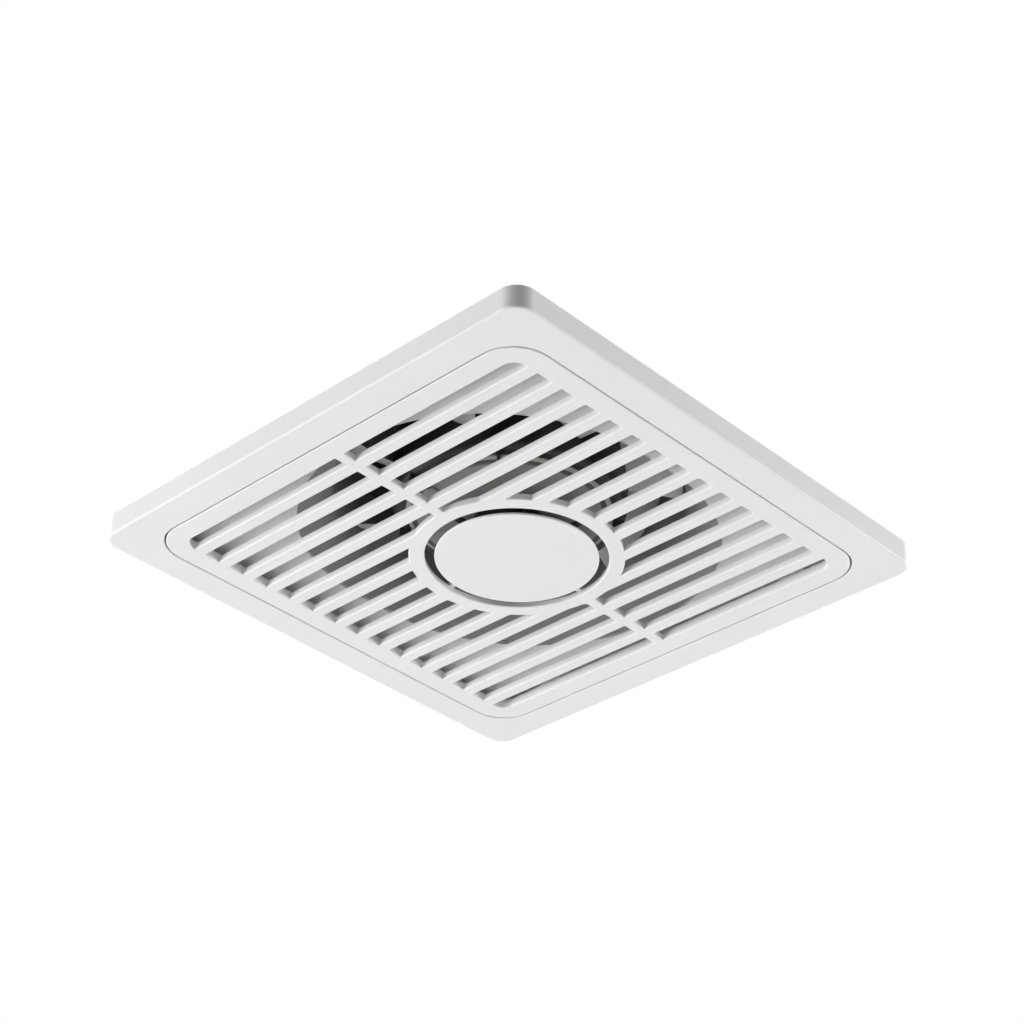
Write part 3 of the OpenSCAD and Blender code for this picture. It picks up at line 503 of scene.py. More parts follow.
def drawIn(t, f):
    # At t from a row's edge its corner of radius f draws the side in by f - sqrt(f^2 - (f - t)^2)
    inside = np.clip(f - t, 0, None)
    return f - np.sqrt(np.clip(f * f - inside * inside, 0, None))


def innerSide(distance):
    # Inner end of a row: the ring's circle, the crossbar's side, and the fillet between them
    r, f, bar = panel["ringOuter"], panel["ringFillet"], panel["barHalf"]
    centre = np.sqrt((r + f) ** 2 - (bar + f) ** 2)
    touch = centre * r / (r + f)
    circle = np.sqrt(np.clip(r * r - distance * distance, 0, None))
    corner = bar + f - np.sqrt(np.clip(f * f - (distance - centre) ** 2, 0, None))
    return np.where(distance >= centre, bar, np.where(distance >= touch, corner, circle))


def slotOutline(low, high, side, lowCorner, highCorner, steps=36):
    # Up the outer end and down the inner end; y = low + (high - low) * (1 - cos(pi s)) / 2
    y = low + (high - low) * (1 - np.cos(pi * np.linspace(0, 1, steps))) / 2
    f = panel["slotCorner"]
    inner = innerSide(np.abs(y - ringY)) + np.maximum(drawIn(y - low, f), drawIn(high - y, f))
    outer = panel["windowHalf"] - np.maximum(drawIn(y - low, lowCorner), drawIn(high - y, highCorner))
    outline = np.concatenate([np.stack([outer, y], 1), np.stack([inner, y], 1)[::-1]])
    return outline if side > 0 else outline[::-1] * (-1, 1)


def grown(outline, distance):
    # Moves an outline outwards along the mean of its neighbouring edge normals
    forward = np.roll(outline, -1, 0) - outline
    forward /= np.linalg.norm(forward, axis=1, keepdims=True)
    normal = np.stack([forward[:, 1], -forward[:, 0]], 1)
    mean = normal + np.roll(normal, 1, 0)
    mean /= np.linalg.norm(mean, axis=1, keepdims=True)
    stretch = 1 / np.clip(np.sum(mean * normal, axis=1, keepdims=True), 0.5, 1)
    return outline + mean * distance * stretch


def circleOutline(radius, centre, steps=160):
    # A circle about (0, centre)
    return polar(radius, np.arange(steps) * 2 * pi / steps) + (0, centre)


slotOutlines = []
slatLow = slatCentres - panel["slat"] / 2
slatHigh = slatCentres + panel["slat"] / 2
rowLow = np.concatenate([[-panel["windowHalf"]], slatHigh])
rowHigh = np.concatenate([slatLow, [panel["windowHalf"]]])
for low, high in zip(rowLow, rowHigh):
    lowCorner = panel["windowRadius"] if low == rowLow[0] else panel["slotCorner"]
    highCorner = panel["windowRadius"] if high == rowHigh[-1] else panel["slotCorner"]
    for side in (-1, 1):
        slotOutlines.append(slotOutline(low, high, side, lowCorner, highCorner))

panelParts = []
edge = panel["slotEdge"]
slatBack = panelFace + panel["slatBack"]
rimBack = panelFace + panel["rimBack"]
borderBack = panelFace + panel["borderBack"]
roll = np.radians(np.linspace(0, 90, 7))
faceHoles, backHoles = [], []
for outline in slotOutlines:
    rings = [atHeight(grown(outline, edge * (1 - np.sin(a))), panelFace + edge * (1 - np.cos(a)))
             for a in roll]
    rings.append(atHeight(outline, slatBack))
    panelParts.append(loft(rings))
    faceHoles.append(rings[0][:, :2])
    backHoles.append(outline)
holeRings = [atHeight(circleOutline(panel["ringInner"] + edge * (1 - np.sin(a)), ringY),
                      panelFace + edge * (1 - np.cos(a))) for a in roll]
ringBack = panelFace + panel["ringBack"]
bandMiddle = (panel["ringInner"] + panel["ringOuter"]) / 2
holeRings.append(atHeight(circleOutline(panel["ringInner"], ringY), ringBack))
holeRings.append(atHeight(circleOutline(bandMiddle, ringY), ringBack))
holeRings.append(atHeight(circleOutline(bandMiddle, ringY), slatBack))
panelParts.append(loft(holeRings))
faceHoles.append(holeRings[0][:, :2])
backHoles.append(holeRings[-1][:, :2])

outerEdge, wall, window = panel["outerEdge"], panel["wall"], panel["windowHalf"]
rounded = bend(panelHalf - outerEdge, panelFace + outerEdge, outerEdge, -90, 0, 6)
rimNear, rimFar = window + panel["windowRim"][0], window + panel["windowRim"][1]
halves = np.concatenate([rounded[:, 0], [panelHalf, panelHalf - wall, panelHalf - wall,
                                         rimFar, rimFar, rimNear, rimNear]])
heights = np.concatenate([rounded[:, 1], [rimBack, rimBack, borderBack,
                                          borderBack, rimBack, rimBack, slatBack]])
radii = np.where(halves > (panelHalf + rimFar) / 2, panel["cornerRadius"] - panelHalf + halves,
                 panel["windowRadius"] - window + halves)
skirt = [atHeight(cornerRing(half, radius, 16), z) for half, radius, z in zip(halves, radii, heights)]
panelParts.append(loft(skirt))
panelParts.append(filled([skirt[0][:, :2]] + faceHoles, panelFace))
panelParts.append(filled([skirt[-1][:, :2]] + backHoles, slatBack))
tongueX, tongueY = panel["tongueHalf"]
for sideX, sideY in corners:
    x, y = sideX * panel["tonguePlace"][0], sideY * panel["tonguePlace"][1]
    panelParts.append(block((x - tongueX, y - tongueY, borderBack - panel["tongueSink"]),
                            (x + tongueX, y + tongueY, panelTop)))
build("grillePanel", panelParts, "panel", "grille_panel", paint["panelWhite"])
print("grille panel made")

# Centre disc: thin at its rim, a rib behind and four bridges that lie on the ring's back

disc = {
    "radius": 43.0,
    "edge": 0.5,           # rounding of the front edge
    "backEdge": 0.3,
    "thick": 1.4,
    "middle": 1.8,         # thickness inside the rib
    "pole": 0.02,          # where the section starts beside the axis
    "faceRing": 20.0,      # a row of points on the flat face
    "ribIn": 5.0,          # from the rim to the rib
    "bridgeWidth": 3.0,
    "bridgeThick": 2.0,
    "bridgeSink": 0.5,     # how far the bridges start inside the rib
    "bridgeRest": 2.7,     # how far they lie on the ring
}
discBack = panelFace + disc["thick"]
discMiddle = panelFace + disc["middle"]
ribRadius = disc["radius"] - disc["ribIn"]
ribInner = ribRadius - disc["thick"]
bridgeTop = ringBack + disc["bridgeThick"]
discSection = np.concatenate([
    [[disc["pole"], panelFace], [disc["faceRing"], panelFace]],
    bend(disc["radius"] - disc["edge"], panelFace + disc["edge"], disc["edge"], -90, 0, 6),
    bend(disc["radius"] - disc["backEdge"], discBack - disc["backEdge"], disc["backEdge"], 0, 90, 3),
    [[ribRadius, discBack], [ribRadius, bridgeTop], [ribInner, bridgeTop],
     [ribInner, discMiddle], [disc["pole"], discMiddle]]])
discParts = [revolve(discSection, 160, (0.0, ringY), True)]
bridgeLow = (ribRadius - disc["bridgeSink"], -disc["bridgeWidth"] / 2, ringBack)
bridgeHigh = (panel["ringInner"] + disc["bridgeRest"], disc["bridgeWidth"] / 2, bridgeTop)
for quarter in range(4):
    points, faces = turned(block(bridgeLow, bridgeHigh), quarter * pi / 2)
    discParts.append((points + (0, ringY, 0), faces))
build("centreDisc", discParts, "panel", "centre_disc", paint["discWhite"])
print("centre disc made")

# Fan shroud: deck, a bell mouth that goes from the long opening to the round ring, and gussets

shroud = {
    "deckHalf": 128.0,
    "deckRadius": 6.0,
    "deckThick": 2.0,
    "deckGap": 1.5,        # the deck's hole is this much wider than the opening
    "ductRadius": 93.0,
    "openingRadius": 102.5,
    "stretch": 12.0,
    "shift": 1.3,
    "wall": 2.0,
    "bellHeight": 22.0,
    "ringHeight": 35.0,    # from the bell to the top of the fan ring
    "crowding": 0.35,      # how much the bell's rows crowd towards the ring
    "bossPlace": 114.0,
    "bossRadius": 4.8,
    "webHalf": 1.0,        # half thickness of the gussets
    "webSink": 1.0,        # how far they start inside the wall
    "webTop": 46.0,
    "webBend": 23.0,
    "webFoot": 1.5,
    "webReach": 18.0,
    "webToe": 5.0,
}
ringTop = shroud["bellHeight"] + shroud["ringHeight"]


def longOutline(radius, stretch, shift, steps=72):
    # Two half circles drawn apart along Y: (r cos a, shift +- stretch + r sin a)
    angle = np.linspace(0, pi, steps)
    return np.concatenate([polar(radius, angle) + (0, shift + stretch),
                           polar(radius, angle + pi) + (0, shift - stretch)])


def bellOutline(t, outwards):
    # Quarter ellipse: k = 1 - sin(90 t); radius, stretch and shift all shrink with k
    k = 1 - np.sin(t * pi / 2)
    radius = shroud["ductRadius"] + (shroud["openingRadius"] - shroud["ductRadius"]) * k + outwards
    return longOutline(radius, shroud["stretch"] * k, shroud["shift"] * k)


even = np.linspace(0, 1, 25)
rise = np.sin(even * pi / 2) * shroud["crowding"] + even * (1 - shroud["crowding"])
inside = [atHeight(bellOutline(t, 0), t * shroud["bellHeight"]) for t in rise]
inside.append(atHeight(bellOutline(1, 0), ringTop))
outside = [atHeight(bellOutline(1, shroud["wall"]), ringTop)]
outside += [atHeight(bellOutline(t, shroud["wall"]), t * shroud["bellHeight"]) for t in rise[::-1]]
shroudParts = [loft(inside + outside, True)]
deckHole = shroud["openingRadius"] + shroud["deckGap"]
deckOutlines = [cornerRing(shroud["deckHalf"], shroud["deckRadius"], 8),
                longOutline(deckHole, shroud["stretch"], shroud["shift"])]
deckOutlines += [circleOutline(shroud["bossRadius"], 0, 32) + np.array(place) * shroud["bossPlace"]
                 for place in corners]
shroudParts.append(filled(deckOutlines, 0))
shroudParts.append(filled(deckOutlines, shroud["deckThick"]))
for outline in deckOutlines:
    shroudParts.append(loft([atHeight(outline, 0), atHeight(outline, shroud["deckThick"])]))
webStart = shroud["ductRadius"] + shroud["webSink"]
webIn = shroud["openingRadius"] + shroud["stretch"] + shroud["webSink"]
webOut = webIn + shroud["webReach"]
webSection = np.array([[webStart, shroud["webTop"]], [webStart, shroud["webBend"]],
                       [webIn, shroud["webFoot"]], [webOut, shroud["webFoot"]],
                       [webOut, shroud["webToe"]]])
webPoints = np.concatenate([np.insert(webSection, 1, side * shroud["webHalf"], axis=1)
                            for side in (-1, 1)])
webFaces = [[0, 1, 2, 3, 4], [9, 8, 7, 6, 5]]
webFaces += [[i, (i + 1) % 5, (i + 1) % 5 + 5, i + 5] for i in range(5)]
for angle in diagonals:
    shroudParts.append(turned((webPoints, webFaces), angle))
build("fanShroud", shroudParts, "fan_body", "fan_shroud", paint["shroudGrey"])
print("fan shroud made")

# Impeller: domed hub with a stepped rim, ribs inside, and seven twisted blades

fan = {
    "hubRadius": 62.0,
    "boreRadius": 4.02,
    "nose": 7.0,
    "hubTop": 58.0,
    "wall": 2.0,
    "lip": 0.4,            # bevel of the hub's open edge
    "noseFlat": 9.0,
    "domeRise": 5.8,
    "shoulder": 5.0,       # rounding between dome and side
    "steps": (8.0, 5.0, 2.5),   # where the rim steps, inwards from the shoulder
    "stepRise": 0.7,
    "stepSlope": 0.1,
    "floorThick": 2.6,
    "shoulderThick": 3.0,
    "shoulderIn": 4.0,     # inner bend at the foot of the side
    "shoulderUp": 7.0,
    "bossHeight": 13.0,
    "blades": 7,
    "tipRadius": 91.0,
    "rootSink": 1.0,       # how far the blades start inside the hub
    "rootChord": 44.0,
    "tipChord": 56.0,
    "rootPitch": 46.0,
    "tipPitch": 32.0,
    "sweep": 6.0,          # degrees from root to tip
    "thick": 2.2,
    "camber": 4.0,
    "bladeLevel": 42.0,
    "ribStart": 7.0,
    "ribHalf": 1.0,
    "ribSpan": (2.0, 11.0),     # heights of the ribs above the nose
}
domeRadius = fan["hubRadius"] - fan["shoulder"]


def dome(r):
    # Rise of the nose: nose + domeRise * ((r - flat) / (domeRadius - flat))^2
    run = np.clip(r - fan["noseFlat"], 0, None) / (domeRadius - fan["noseFlat"])
    return fan["nose"] + fan["domeRise"] * run ** 2


first, second, third = (domeRadius - step for step in fan["steps"])
rise, slope = fan["stepRise"], fan["stepSlope"]
smoothRun = np.linspace(fan["noseFlat"], first, 14)
stepRun = [[first + slope, dome(first) + rise],
           [second - slope, dome(second) + rise], [second + slope, dome(second)],
           [third - slope, dome(third)], [third + slope, dome(third) + rise]]
hubInner = fan["hubRadius"] - fan["wall"]
bossTop = fan["nose"] + fan["bossHeight"]
hubSection = np.concatenate([
    [[fan["boreRadius"], fan["nose"]]], np.stack([smoothRun, dome(smoothRun)], 1), stepRun,
    bend(domeRadius, dome(domeRadius) + fan["shoulder"], fan["shoulder"], -80, 0, 12),
    [[fan["hubRadius"], fan["hubTop"] - fan["lip"]], [fan["hubRadius"] - fan["lip"], fan["hubTop"]],
     [hubInner, fan["hubTop"]],
     [hubInner, dome(domeRadius) + fan["shoulderUp"]],
     [domeRadius - fan["shoulderIn"], dome(domeRadius) + fan["shoulderThick"]],
     [domeRadius / 2, dome(domeRadius / 2) + fan["floorThick"]],
     [fan["noseFlat"], fan["nose"] + fan["floorThick"]],
     [fan["noseFlat"], bossTop], [fan["boreRadius"], bossTop]]])
fanParts = [revolve(hubSection, 144, closeSection=True)]


def bladeRing(v, cuts=22):
    # Section at the span v, wrapped round the axis: chord along the pitch angle,
    # middle line camber * (1 - w^2), half thickness thick / 2 * sqrt(1 - w^4), w from -1 to 1
    root = fan["hubRadius"] - fan["rootSink"]
    radius = root + (fan["tipRadius"] - root) * v
    chord = fan["rootChord"] + (fan["tipChord"] - fan["rootChord"]) * v
    pitch = np.radians(fan["rootPitch"] + (fan["tipPitch"] - fan["rootPitch"]) * v)
    half = (1 - np.cos(pi * np.linspace(0, 1, cuts))) / 2
    u = np.concatenate([half, half[-2:0:-1]])
    side = np.concatenate([np.ones(cuts), -np.ones(cuts - 2)])
    w = 2 * u - 1
    skin = side * fan["thick"] / 2 * np.sqrt(np.clip(1 - w ** 4, 0, None))
    lift = fan["camber"] * (1 - w * w) + skin
    along = -(u - 0.5) * chord * np.cos(pitch) - lift * np.sin(pitch)
    z = (u - 0.5) * chord * np.sin(pitch) - lift * np.cos(pitch) + fan["bladeLevel"]
    angle = along / radius + np.radians(fan["sweep"] * v)
    return np.column_stack([polar(radius, angle), z])


bladePoints, bladeFaces = loft([bladeRing(v) for v in np.linspace(0, 1, 20)])
around, last = len(bladeRing(0.0)), len(bladePoints)
bladeFaces = bladeFaces.tolist() + [list(range(around)), list(range(last - around, last))]
rib = block((fan["ribStart"], -fan["ribHalf"], fan["nose"] + fan["ribSpan"][0]),
            (fan["hubRadius"] - fan["rootSink"], fan["ribHalf"], fan["nose"] + fan["ribSpan"][1]))
for index in range(fan["blades"]):
    fanParts.append(turned((bladePoints, bladeFaces), 2 * pi * (index + 0.5) / fan["blades"]))
    fanParts.append(turned(rib, 2 * pi * index / fan["blades"]))
build("impellerBlades", fanParts, "impeller_body", "impeller", paint["impellerGrey"])
print("impeller made")

# Upper casing: one turned shell with a ledge and four bosses

casing = {
    "wall": 2.0,
    "sleeveRadius": 95.1,
    "sleeveTop": (57.1, 58.5),   # inside and outside
    "neckRadius": 84.0,
    "neckLow": 61.0,
    "neckTop": 71.0,
    "neckStep": 1.4,       # the outside lies this much above the inside at the foot of the neck
    "coneTop": 92.0,
    "coneStep": 1.16,      # and this much along the cone
    "spigotRadius": 49.0,
    "soft": 1.2,           # rounding of the outer bends
    "innerSoft": 0.8,
    "bossReach": 56.0,
    "bossRadius": 5.0,
    "bossHole": 1.9,
    "bossLow": 78.0,
    "bossHigh": 88.0,
    "ledge": (96.9, 98.1, 44.0),   # lowest and highest z, inner radius
}
casingLow, casingTop = reach("upper_casing")[1:]
wall = casing["wall"]
sleeveOuter, neckOuter = casing["sleeveRadius"] + wall, casing["neckRadius"] + wall
spigotOuter = casing["spigotRadius"]
outerRun = np.array([
    [sleeveOuter, casingLow], [sleeveOuter, casing["sleeveTop"][1]],
    [neckOuter, casing["neckLow"] + casing["neckStep"]],
    [neckOuter, casing["neckTop"] + casing["coneStep"]],
    [spigotOuter, casing["coneTop"] + casing["coneStep"]], [spigotOuter, casingTop]])
innerRun = np.array([
    [spigotOuter - wall, casingTop], [spigotOuter - wall, casing["coneTop"]],
    [casing["neckRadius"], casing["neckTop"]], [casing["neckRadius"], casing["neckLow"]],
    [casing["sleeveRadius"], casing["sleeveTop"][0]], [casing["sleeveRadius"], casingLow]])


def softened(run, size, steps=5):
    # Rounds each inner corner p of a run: (1-t)^2 a + 2t(1-t) p + t^2 b,
    # where a and b lie on the two sides at the distance size from p
    t = np.linspace(0, 1, steps + 1)[:, None]
    pieces = [run[:1]]
    for before, corner, after in zip(run[:-2], run[1:-1], run[2:]):
        a = corner + (before - corner) / np.linalg.norm(before - corner) * size
        b = corner + (after - corner) / np.linalg.norm(after - corner) * size
        pieces.append((1 - t) ** 2 * a + 2 * t * (1 - t) * corner + t ** 2 * b)
    return np.concatenate(pieces + [run[-1:]])


shell = np.concatenate([softened(outerRun, casing["soft"]), softened(innerRun, casing["innerSoft"])])
casingParts = [revolve(shell, 144, closeSection=True)]
ledgeLow, ledgeTop, ledgeRadius = casing["ledge"]
inner = spigotOuter - wall / 2
ledge = [[ledgeRadius, ledgeLow], [inner, ledgeLow], [inner, ledgeTop], [ledgeRadius, ledgeTop]]
casingParts.append(revolve(ledge, 144, closeSection=True))
boss = [[casing["bossHole"], casing["bossLow"]], [casing["bossRadius"], casing["bossLow"]],
        [casing["bossRadius"], casing["bossHigh"]], [casing["bossHole"], casing["bossHigh"]]]
coneFall = (casing["coneTop"] - casing["neckTop"]) / (neckOuter - spigotOuter)
for angle in diagonals:
    points, faces = revolve(boss, 32, polar(casing["bossReach"], angle), True)
    # The top of a boss follows the middle of the cone's wall
    away = casing["neckRadius"] - np.hypot(points[:, 0], points[:, 1])
    cone = casing["neckTop"] + wall / 2 + away * coneFall
    points[:, 2] = np.where(points[:, 2] > casing["bossLow"], cone, points[:, 2])
    casingParts.append((points, faces))
build("upperCasing", casingParts, "fan_body", "upper_casing", paint["casingGrey"])
print("upper casing made")

# Sheet metal and small mouldings: the CAD form with its edges broken

softEdges = {
    # node: (body, material slot, width of the broken edge in millimetres)
    "orifice_plate": ("fan_body", "plate_white", 0.35),
    "terminal_box": ("fan_body", "box_steel", 0.3),
    "terminal_cover": ("fan_body", "box_steel", 0.35),
    "flap_left": ("left_leaf", "casing_grey", 0.25),
    "flap_right": ("right_leaf", "casing_grey", 0.25),
    "motor_bracket": ("fan_body", "zinc_steel", 0.3),
    "motor_case": ("fan_body", "motor_steel", 0.3),
    "motor_cap": ("fan_body", "motor_steel", 0.3),
    "terminal_block": ("fan_body", "block_ivory", 0.4),
    "capacitor": ("fan_body", "black_plastic", 1.0),
}


def softCopy(node, body, width):
    # Copies the node's mesh, joins its flat triangles into whole faces and rounds the sharp edges
    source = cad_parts[node]
    mesh = source.data.copy()
    mesh.transform(source.matrix_world)
    work = bmesh.new()
    work.from_mesh(mesh)
    bmesh.ops.remove_doubles(work, verts=work.verts, dist=joining["weld"])
    bmesh.ops.dissolve_limit(work, angle_limit=radians(joining["flat"]),
                             verts=work.verts, edges=work.edges)
    work.to_mesh(mesh)
    work.free()
    mesh.polygons.foreach_set("use_smooth", np.ones(len(mesh.polygons), bool))
    mesh.set_sharp_from_angle(angle=radians(joining["sharp"]))
    words = node.title().replace("_", "")
    piece = bpy.data.objects.new(words[0].lower() + words[1:] + "Soft", mesh)
    bpy.context.collection.objects.link(piece)
    bevel = piece.modifiers.new("edges", "BEVEL")
    bevel.width = width * mm
    bevel.segments = 2
    bevel.limit_method = "ANGLE"
    bevel.angle_limit = radians(joining["sharp"])
    weighted = piece.modifiers.new("weighted", "WEIGHTED_NORMAL")
    weighted.keep_sharp = False
    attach(piece, body)
    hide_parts(node)


for node, (body, slotName, width) in softEdges.items():
    softCopy(node, body, width)
print("sheet metal made")

# Screws: a low domed head with a cross recess, and a threaded shank

screw = {
    "recess": 0.55,        # depth of the cross against the head's height
    "arm": 0.5,            # length of the cross's arms against the head's radius
    "slit": 0.13,          # half width of the arms against the head's radius
    "slitSlope": 0.12,     # width of the sloping sides of the arms
    "armSlope": 0.25,      # and of their ends
    "fall": 0.55,          # how far the head falls towards its rim, against its height
    "crossRows": (0, 0.62, 20),   # rows of points from the middle out, against the head's radius
    "rimRows": (0.66, 1, 8),
    "rimHeight": 0.12,
    "rimIn": 0.15,
    "threadPitch": 0.9,
    "threadDepth": 0.22,
    "sides": 64,
}


def screwShape(headRadius, headHeight, shankRadius, shankLength):
    # Head: h (1 - fall (r/R)^2) less a cross-shaped pit
    # Shank: the radius falls by the thread's depth and rises again with each turn
    rows = np.concatenate([np.linspace(*screw["crossRows"]), np.linspace(*screw["rimRows"])])
    radii = rows * headRadius
    angle = np.arange(screw["sides"]) * 2 * pi / screw["sides"]
    x, y = radii[:, None] * np.cos(angle), radii[:, None] * np.sin(angle)
    across, along = np.minimum(abs(x), abs(y)), np.maximum(abs(x), abs(y))
    narrow = np.clip((screw["slit"] * headRadius - across) / screw["slitSlope"] + 0.5, 0, 1)
    short = np.clip((screw["arm"] * headRadius - along) / screw["armSlope"] + 0.5, 0, 1)
    top = headHeight * (1 - screw["fall"] * (radii[:, None] / headRadius) ** 2)
    top = top - screw["recess"] * headHeight * narrow * short
    head = list(np.stack([x, y, top], axis=-1))
    turns = max(2, int(shankLength / screw["threadPitch"]))
    levels = -np.linspace(0, shankLength, 2 * turns + 1)
    shank = shankRadius - screw["threadDepth"] * (np.arange(2 * turns + 1) % 2)
    section = [(headRadius, screw["rimHeight"]), (headRadius - screw["rimIn"], 0)]
    section += list(zip(shank, levels)) + [(0, -shankLength)]
    return loft(head + [atHeight(polar(radius, angle), z) for radius, z in section])


def screwSet(name, node, seats, size):
    # seats: (point under the head, direction the head points in)
    parts = []
    for point, axis in seats:
        points, faces = screwShape(*size)
        axis = np.asarray(axis, float)
        side = np.cross(axis, (1.0, 0, 0) if abs(axis[0]) < 0.9 else (0, 1.0, 0))
        side /= np.linalg.norm(side)
        basis = np.stack([side, np.cross(axis, side), axis])
        parts.append((points @ basis + np.asarray(point, float), faces))
    build(name, parts, "fan_body", node, paint["zincSteel"], 30)


def roundSeats(radius, z, angles, axis=None):
    # Seats on a circle; without an axis the heads point outwards
    return [((*polar(radius, a), z), axis or (*polar(1, a), 0)) for a in angles]


fixing = {
    # head radius, head height, shank radius, shank length
    "frameSize": (3.1, 2.2, 1.75, 7),
    "shroudSize": (7, 1.6, 1.75, 2.6),
    "casingSize": (2.8, 1.8, 1.5, 3.8),
    "bracketSize": (4.2, 2.6, 1.75, 12),
    "motorSize": (2.8, 1.8, 1.5, 6),
    "coverSize": (3.1, 2.0, 1.75, 5.5),
    "boxSize": (2.6, 1.6, 1.5, 2.9),
    "headGap": 0.1,            # under the heads on the deck
    "casingHeight": 53,
    "bracketHeight": 72,
    "motorPlace": (18, 74),    # radius and height
    "coverPlace": (-121.4, 22.8, 77.3),
    "boxPlace": (-115.9, 33.5, 3.2),
}
up, down = (0, 0, 1), (0, 0, -1)
inOrder = [(-1, -1), (1, -1), (1, 1), (-1, 1)]
frameX, frameY = trim["lugPlace"]
frameSeats = [((frameX * i, frameY * j, plateLow - lugThick), down) for i, j in inOrder]
deckX, deckZ = shroud["bossPlace"], shroud["deckThick"] + fixing["headGap"]
deckSeats = [((deckX * i, deckX * j, deckZ), up) for i, j in inOrder]
quarters = [quarter * pi / 2 for quarter in range(4)]
coverX, coverY, coverZ = fixing["coverPlace"]
boxX, boxY, boxZ = fixing["boxPlace"]
screwSet("frameScrews", "frame_screws", frameSeats, fixing["frameSize"])
screwSet("shroudScrews", "shroud_screws", deckSeats, fixing["shroudSize"])
screwSet("casingScrews", "casing_screws",
         roundSeats(sleeveOuter, fixing["casingHeight"], diagonals), fixing["casingSize"])
screwSet("bracketScrews", "bracket_screws",
         roundSeats(casing["bossReach"], fixing["bracketHeight"], diagonals, down),
         fixing["bracketSize"])
screwSet("motorScrews", "motor_screws",
         roundSeats(*fixing["motorPlace"], quarters, up), fixing["motorSize"])
screwSet("coverScrews", "cover_screws",
         [((coverX, coverY * j, coverZ), up) for j in (-1, 1)], fixing["coverSize"])
screwSet("boxScrews", "box_screws",
         [((boxX, boxY * j, boxZ), up) for j in (-1, 1)], fixing["boxSize"])
print("screws made")

# Cable gland: hexagon, domed nut with flutes, and the seal inside it

gland = {
    "place": (-115.9, -38.0, 22.0),
    "flutes": 16,
    "hexTrim": 0.97,       # how far the corners of the hexagons are turned off
    # (radius, height) of each ring, round a bore of radius 4
    "innerNut": [(7.0, -1.2), (8.3, -1.21), (8.3, -4.0), (7.9, -4.2), (7.0, -4.2)],
    "barrel": [(4.0, -6.2), (6.6, -6.2), (6.9, -5.9), (6.9, 6.0), (4.0, 6.0)],
    "outerNut": [(7.0, 0), (8.3, 0), (8.6, 0.3), (8.6, 4.6), (8.2, 5), (7.0, 5)],
    # (radius, height, depth of the flutes) of each ring
    "dome": [(4.0, 5, 0), (7.4, 5, 0), (7.4, 5.6, 0.1), (7.35, 6, 0.35), (6.9, 9.4, 0.35),
             (6.6, 10.4, 0.1), (6.1, 11.8, 0), (5.4, 12.7, 0), (4.9, 13, 0),
             (4.4, 12.6, 0), (4.0, 12.2, 0)],
}


def hexRing(radius, z, steps=72):
    # Hexagon with softened corners: the distance to the side nearest in angle, but never
    # more than radius * hexTrim
    angle = np.arange(steps) * 2 * pi / steps
    near = (angle + pi / 6) % (pi / 3) - pi / 6
    r = np.minimum(radius * np.cos(pi / 6) / np.cos(near), radius * gland["hexTrim"])
    return atHeight(polar(r, angle), z)


def flutedRing(radius, z, depth, steps=128):
    # r = radius - depth * (1 + cos(n a)) / 2
    angle = np.arange(steps) * 2 * pi / steps
    r = radius - depth * (1 + np.cos(gland["flutes"] * angle)) / 2
    return atHeight(polar(r, angle), z)


glandParts = [loft([hexRing(*row) for row in gland["innerNut"]], True),
              revolve(gland["barrel"], 96, closeSection=True),
              loft([hexRing(*row) for row in gland["outerNut"]], True),
              loft([flutedRing(*row) for row in gland["dome"]], True)]
turnedDown = []
for points, faces in glandParts:
    # The gland's own z points along -Y
    x, y, z = points.T
    turnedDown.append((np.stack([x, -z, y], axis=1) + gland["place"], faces))
build("cableGland", turnedDown, "fan_body", "cable_gland", paint["blackPlastic"])
print("cable gland made")

# Camera at the photograph's viewpoint

lens = {
    "place": (0.7477, -0.7497, -0.6809),
    "forward": (-0.58969, 0.59272, 0.54859),
    "roll": 1.89,          # degrees
    "focal": 84.7,
    "sensor": 36,
    "clip": (0.05, 50),
}
camera = bpy.data.objects.new("camera", bpy.data.cameras.new("camera"))
bpy.context.collection.objects.link(camera)
facing = Vector(lens["forward"]).to_track_quat("-Z", "Y")
camera.location = lens["place"]
camera.rotation_mode = "QUATERNION"
camera.rotation_quaternion = facing @ Quaternion((0, 0, 1), radians(lens["roll"]))
camera.data.lens = lens["focal"]
camera.data.sensor_width = lens["sensor"]
camera.data.clip_start, camera.data.clip_end = lens["clip"]
bpy.context.scene.camera = camera

# Room: a pale floor far below, a white backdrop and soft light

room = {
    "floorDrop": 1.6,
    "floorColour": (0.75, 0.75, 0.75),
    "floorSize": 14,       # metres
    "floorRough": 0.8,
    "floorGlow": 0.4,      # how much paler the floor looks to the camera
    "backdrop": 1.0,
    "ambient": 0.22,       # level of the world on diffuse surfaces
    "aim": (0, 0, 0),      # the lamps point here
    "lights": [
        # place, size in metres, power in watts
        ((-1.6, -1.5, -0.62), 1.4, 54),
        ((1.15, 1.85, -0.36), 1.4, 50),
        ((0.0, 0.0, -1.5), 1.6, 2.0),
        ((0.0, 0.0, 1.6), 1.6, 13),
    ],
}


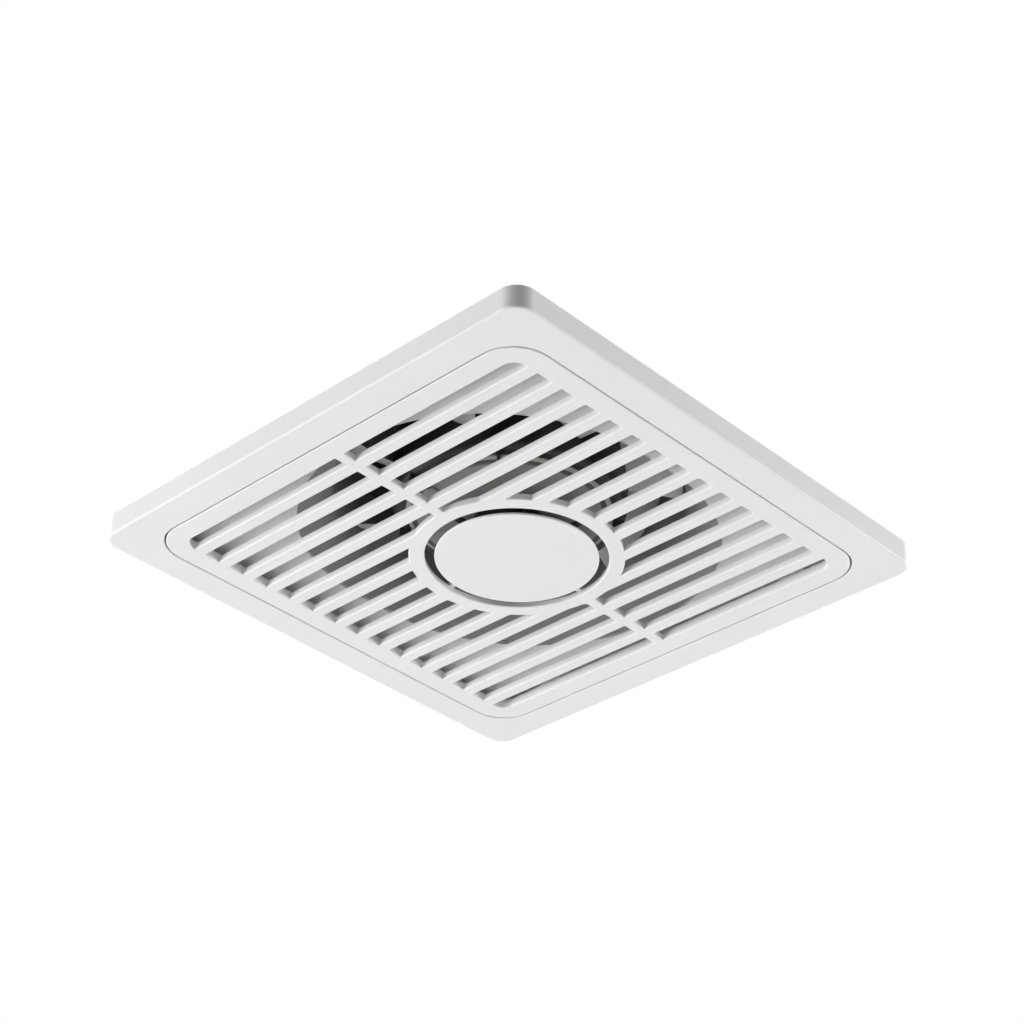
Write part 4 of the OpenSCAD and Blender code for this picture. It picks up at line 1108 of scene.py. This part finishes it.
def seenDirectly(tree):
    # One for camera, glossy and transmission rays, nought for the others
    ray = tree.nodes.new("ShaderNodeLightPath")
    chosen = ray.outputs["Is Camera Ray"]
    for kind in ("Is Glossy Ray", "Is Transmission Ray"):
        most = tree.nodes.new("ShaderNodeMath")
        most.operation = "MAXIMUM"
        tree.links.new(chosen, most.inputs[0])
        tree.links.new(ray.outputs[kind], most.inputs[1])
        chosen = most.outputs["Value"]
    return chosen


bpy.ops.mesh.primitive_plane_add(size=room["floorSize"], location=(0, 0, -room["floorDrop"]))
floor = bpy.context.object
floor.name = "floor"
floorPaint = plastic("floorPaint", room["floorColour"], room["floorRough"])
tree = floorPaint.node_tree
glow = tree.nodes.new("ShaderNodeEmission")
level = rangeNode(tree, seenDirectly(tree), 0, room["floorGlow"], 0, 1)
tree.links.new(level.outputs["Result"], glow.inputs["Strength"])
both = tree.nodes.new("ShaderNodeAddShader")
tree.links.new(tree.nodes["Principled BSDF"].outputs["BSDF"], both.inputs[0])
tree.links.new(glow.outputs["Emission"], both.inputs[1])
tree.links.new(both.outputs["Shader"], tree.nodes["Material Output"].inputs["Surface"])
floor.data.materials.append(floorPaint)

world = bpy.data.worlds.new("room")
bpy.context.scene.world = world
world.use_nodes = True
tree = world.node_tree
tree.nodes.clear()
output = tree.nodes.new("ShaderNodeOutputWorld")
white = {}
for key in ("backdrop", "ambient"):
    white[key] = tree.nodes.new("ShaderNodeBackground")
    white[key].inputs["Color"].default_value = (1, 1, 1, 1)
    white[key].inputs["Strength"].default_value = room[key]
mixed = tree.nodes.new("ShaderNodeMixShader")
tree.links.new(seenDirectly(tree), mixed.inputs["Fac"])
tree.links.new(white["ambient"].outputs["Background"], mixed.inputs[1])
tree.links.new(white["backdrop"].outputs["Background"], mixed.inputs[2])
tree.links.new(mixed.outputs["Shader"], output.inputs["Surface"])

for index, (place, size, power) in enumerate(room["lights"]):
    lamp = bpy.data.lights.new("softLight%d" % index, "AREA")
    lamp.shape = "DISK"
    lamp.size = size
    lamp.energy = power
    lampObject = bpy.data.objects.new(lamp.name, lamp)
    bpy.context.collection.objects.link(lampObject)
    lampObject.location = place
    lampObject.rotation_mode = "QUATERNION"
    towards = Vector(room["aim"]) - Vector(place)
    lampObject.rotation_quaternion = towards.to_track_quat("-Z", "Y")
    lampObject.visible_camera = False

bpy.context.scene.view_settings.view_transform = "Standard"
print("camera, room and light set")
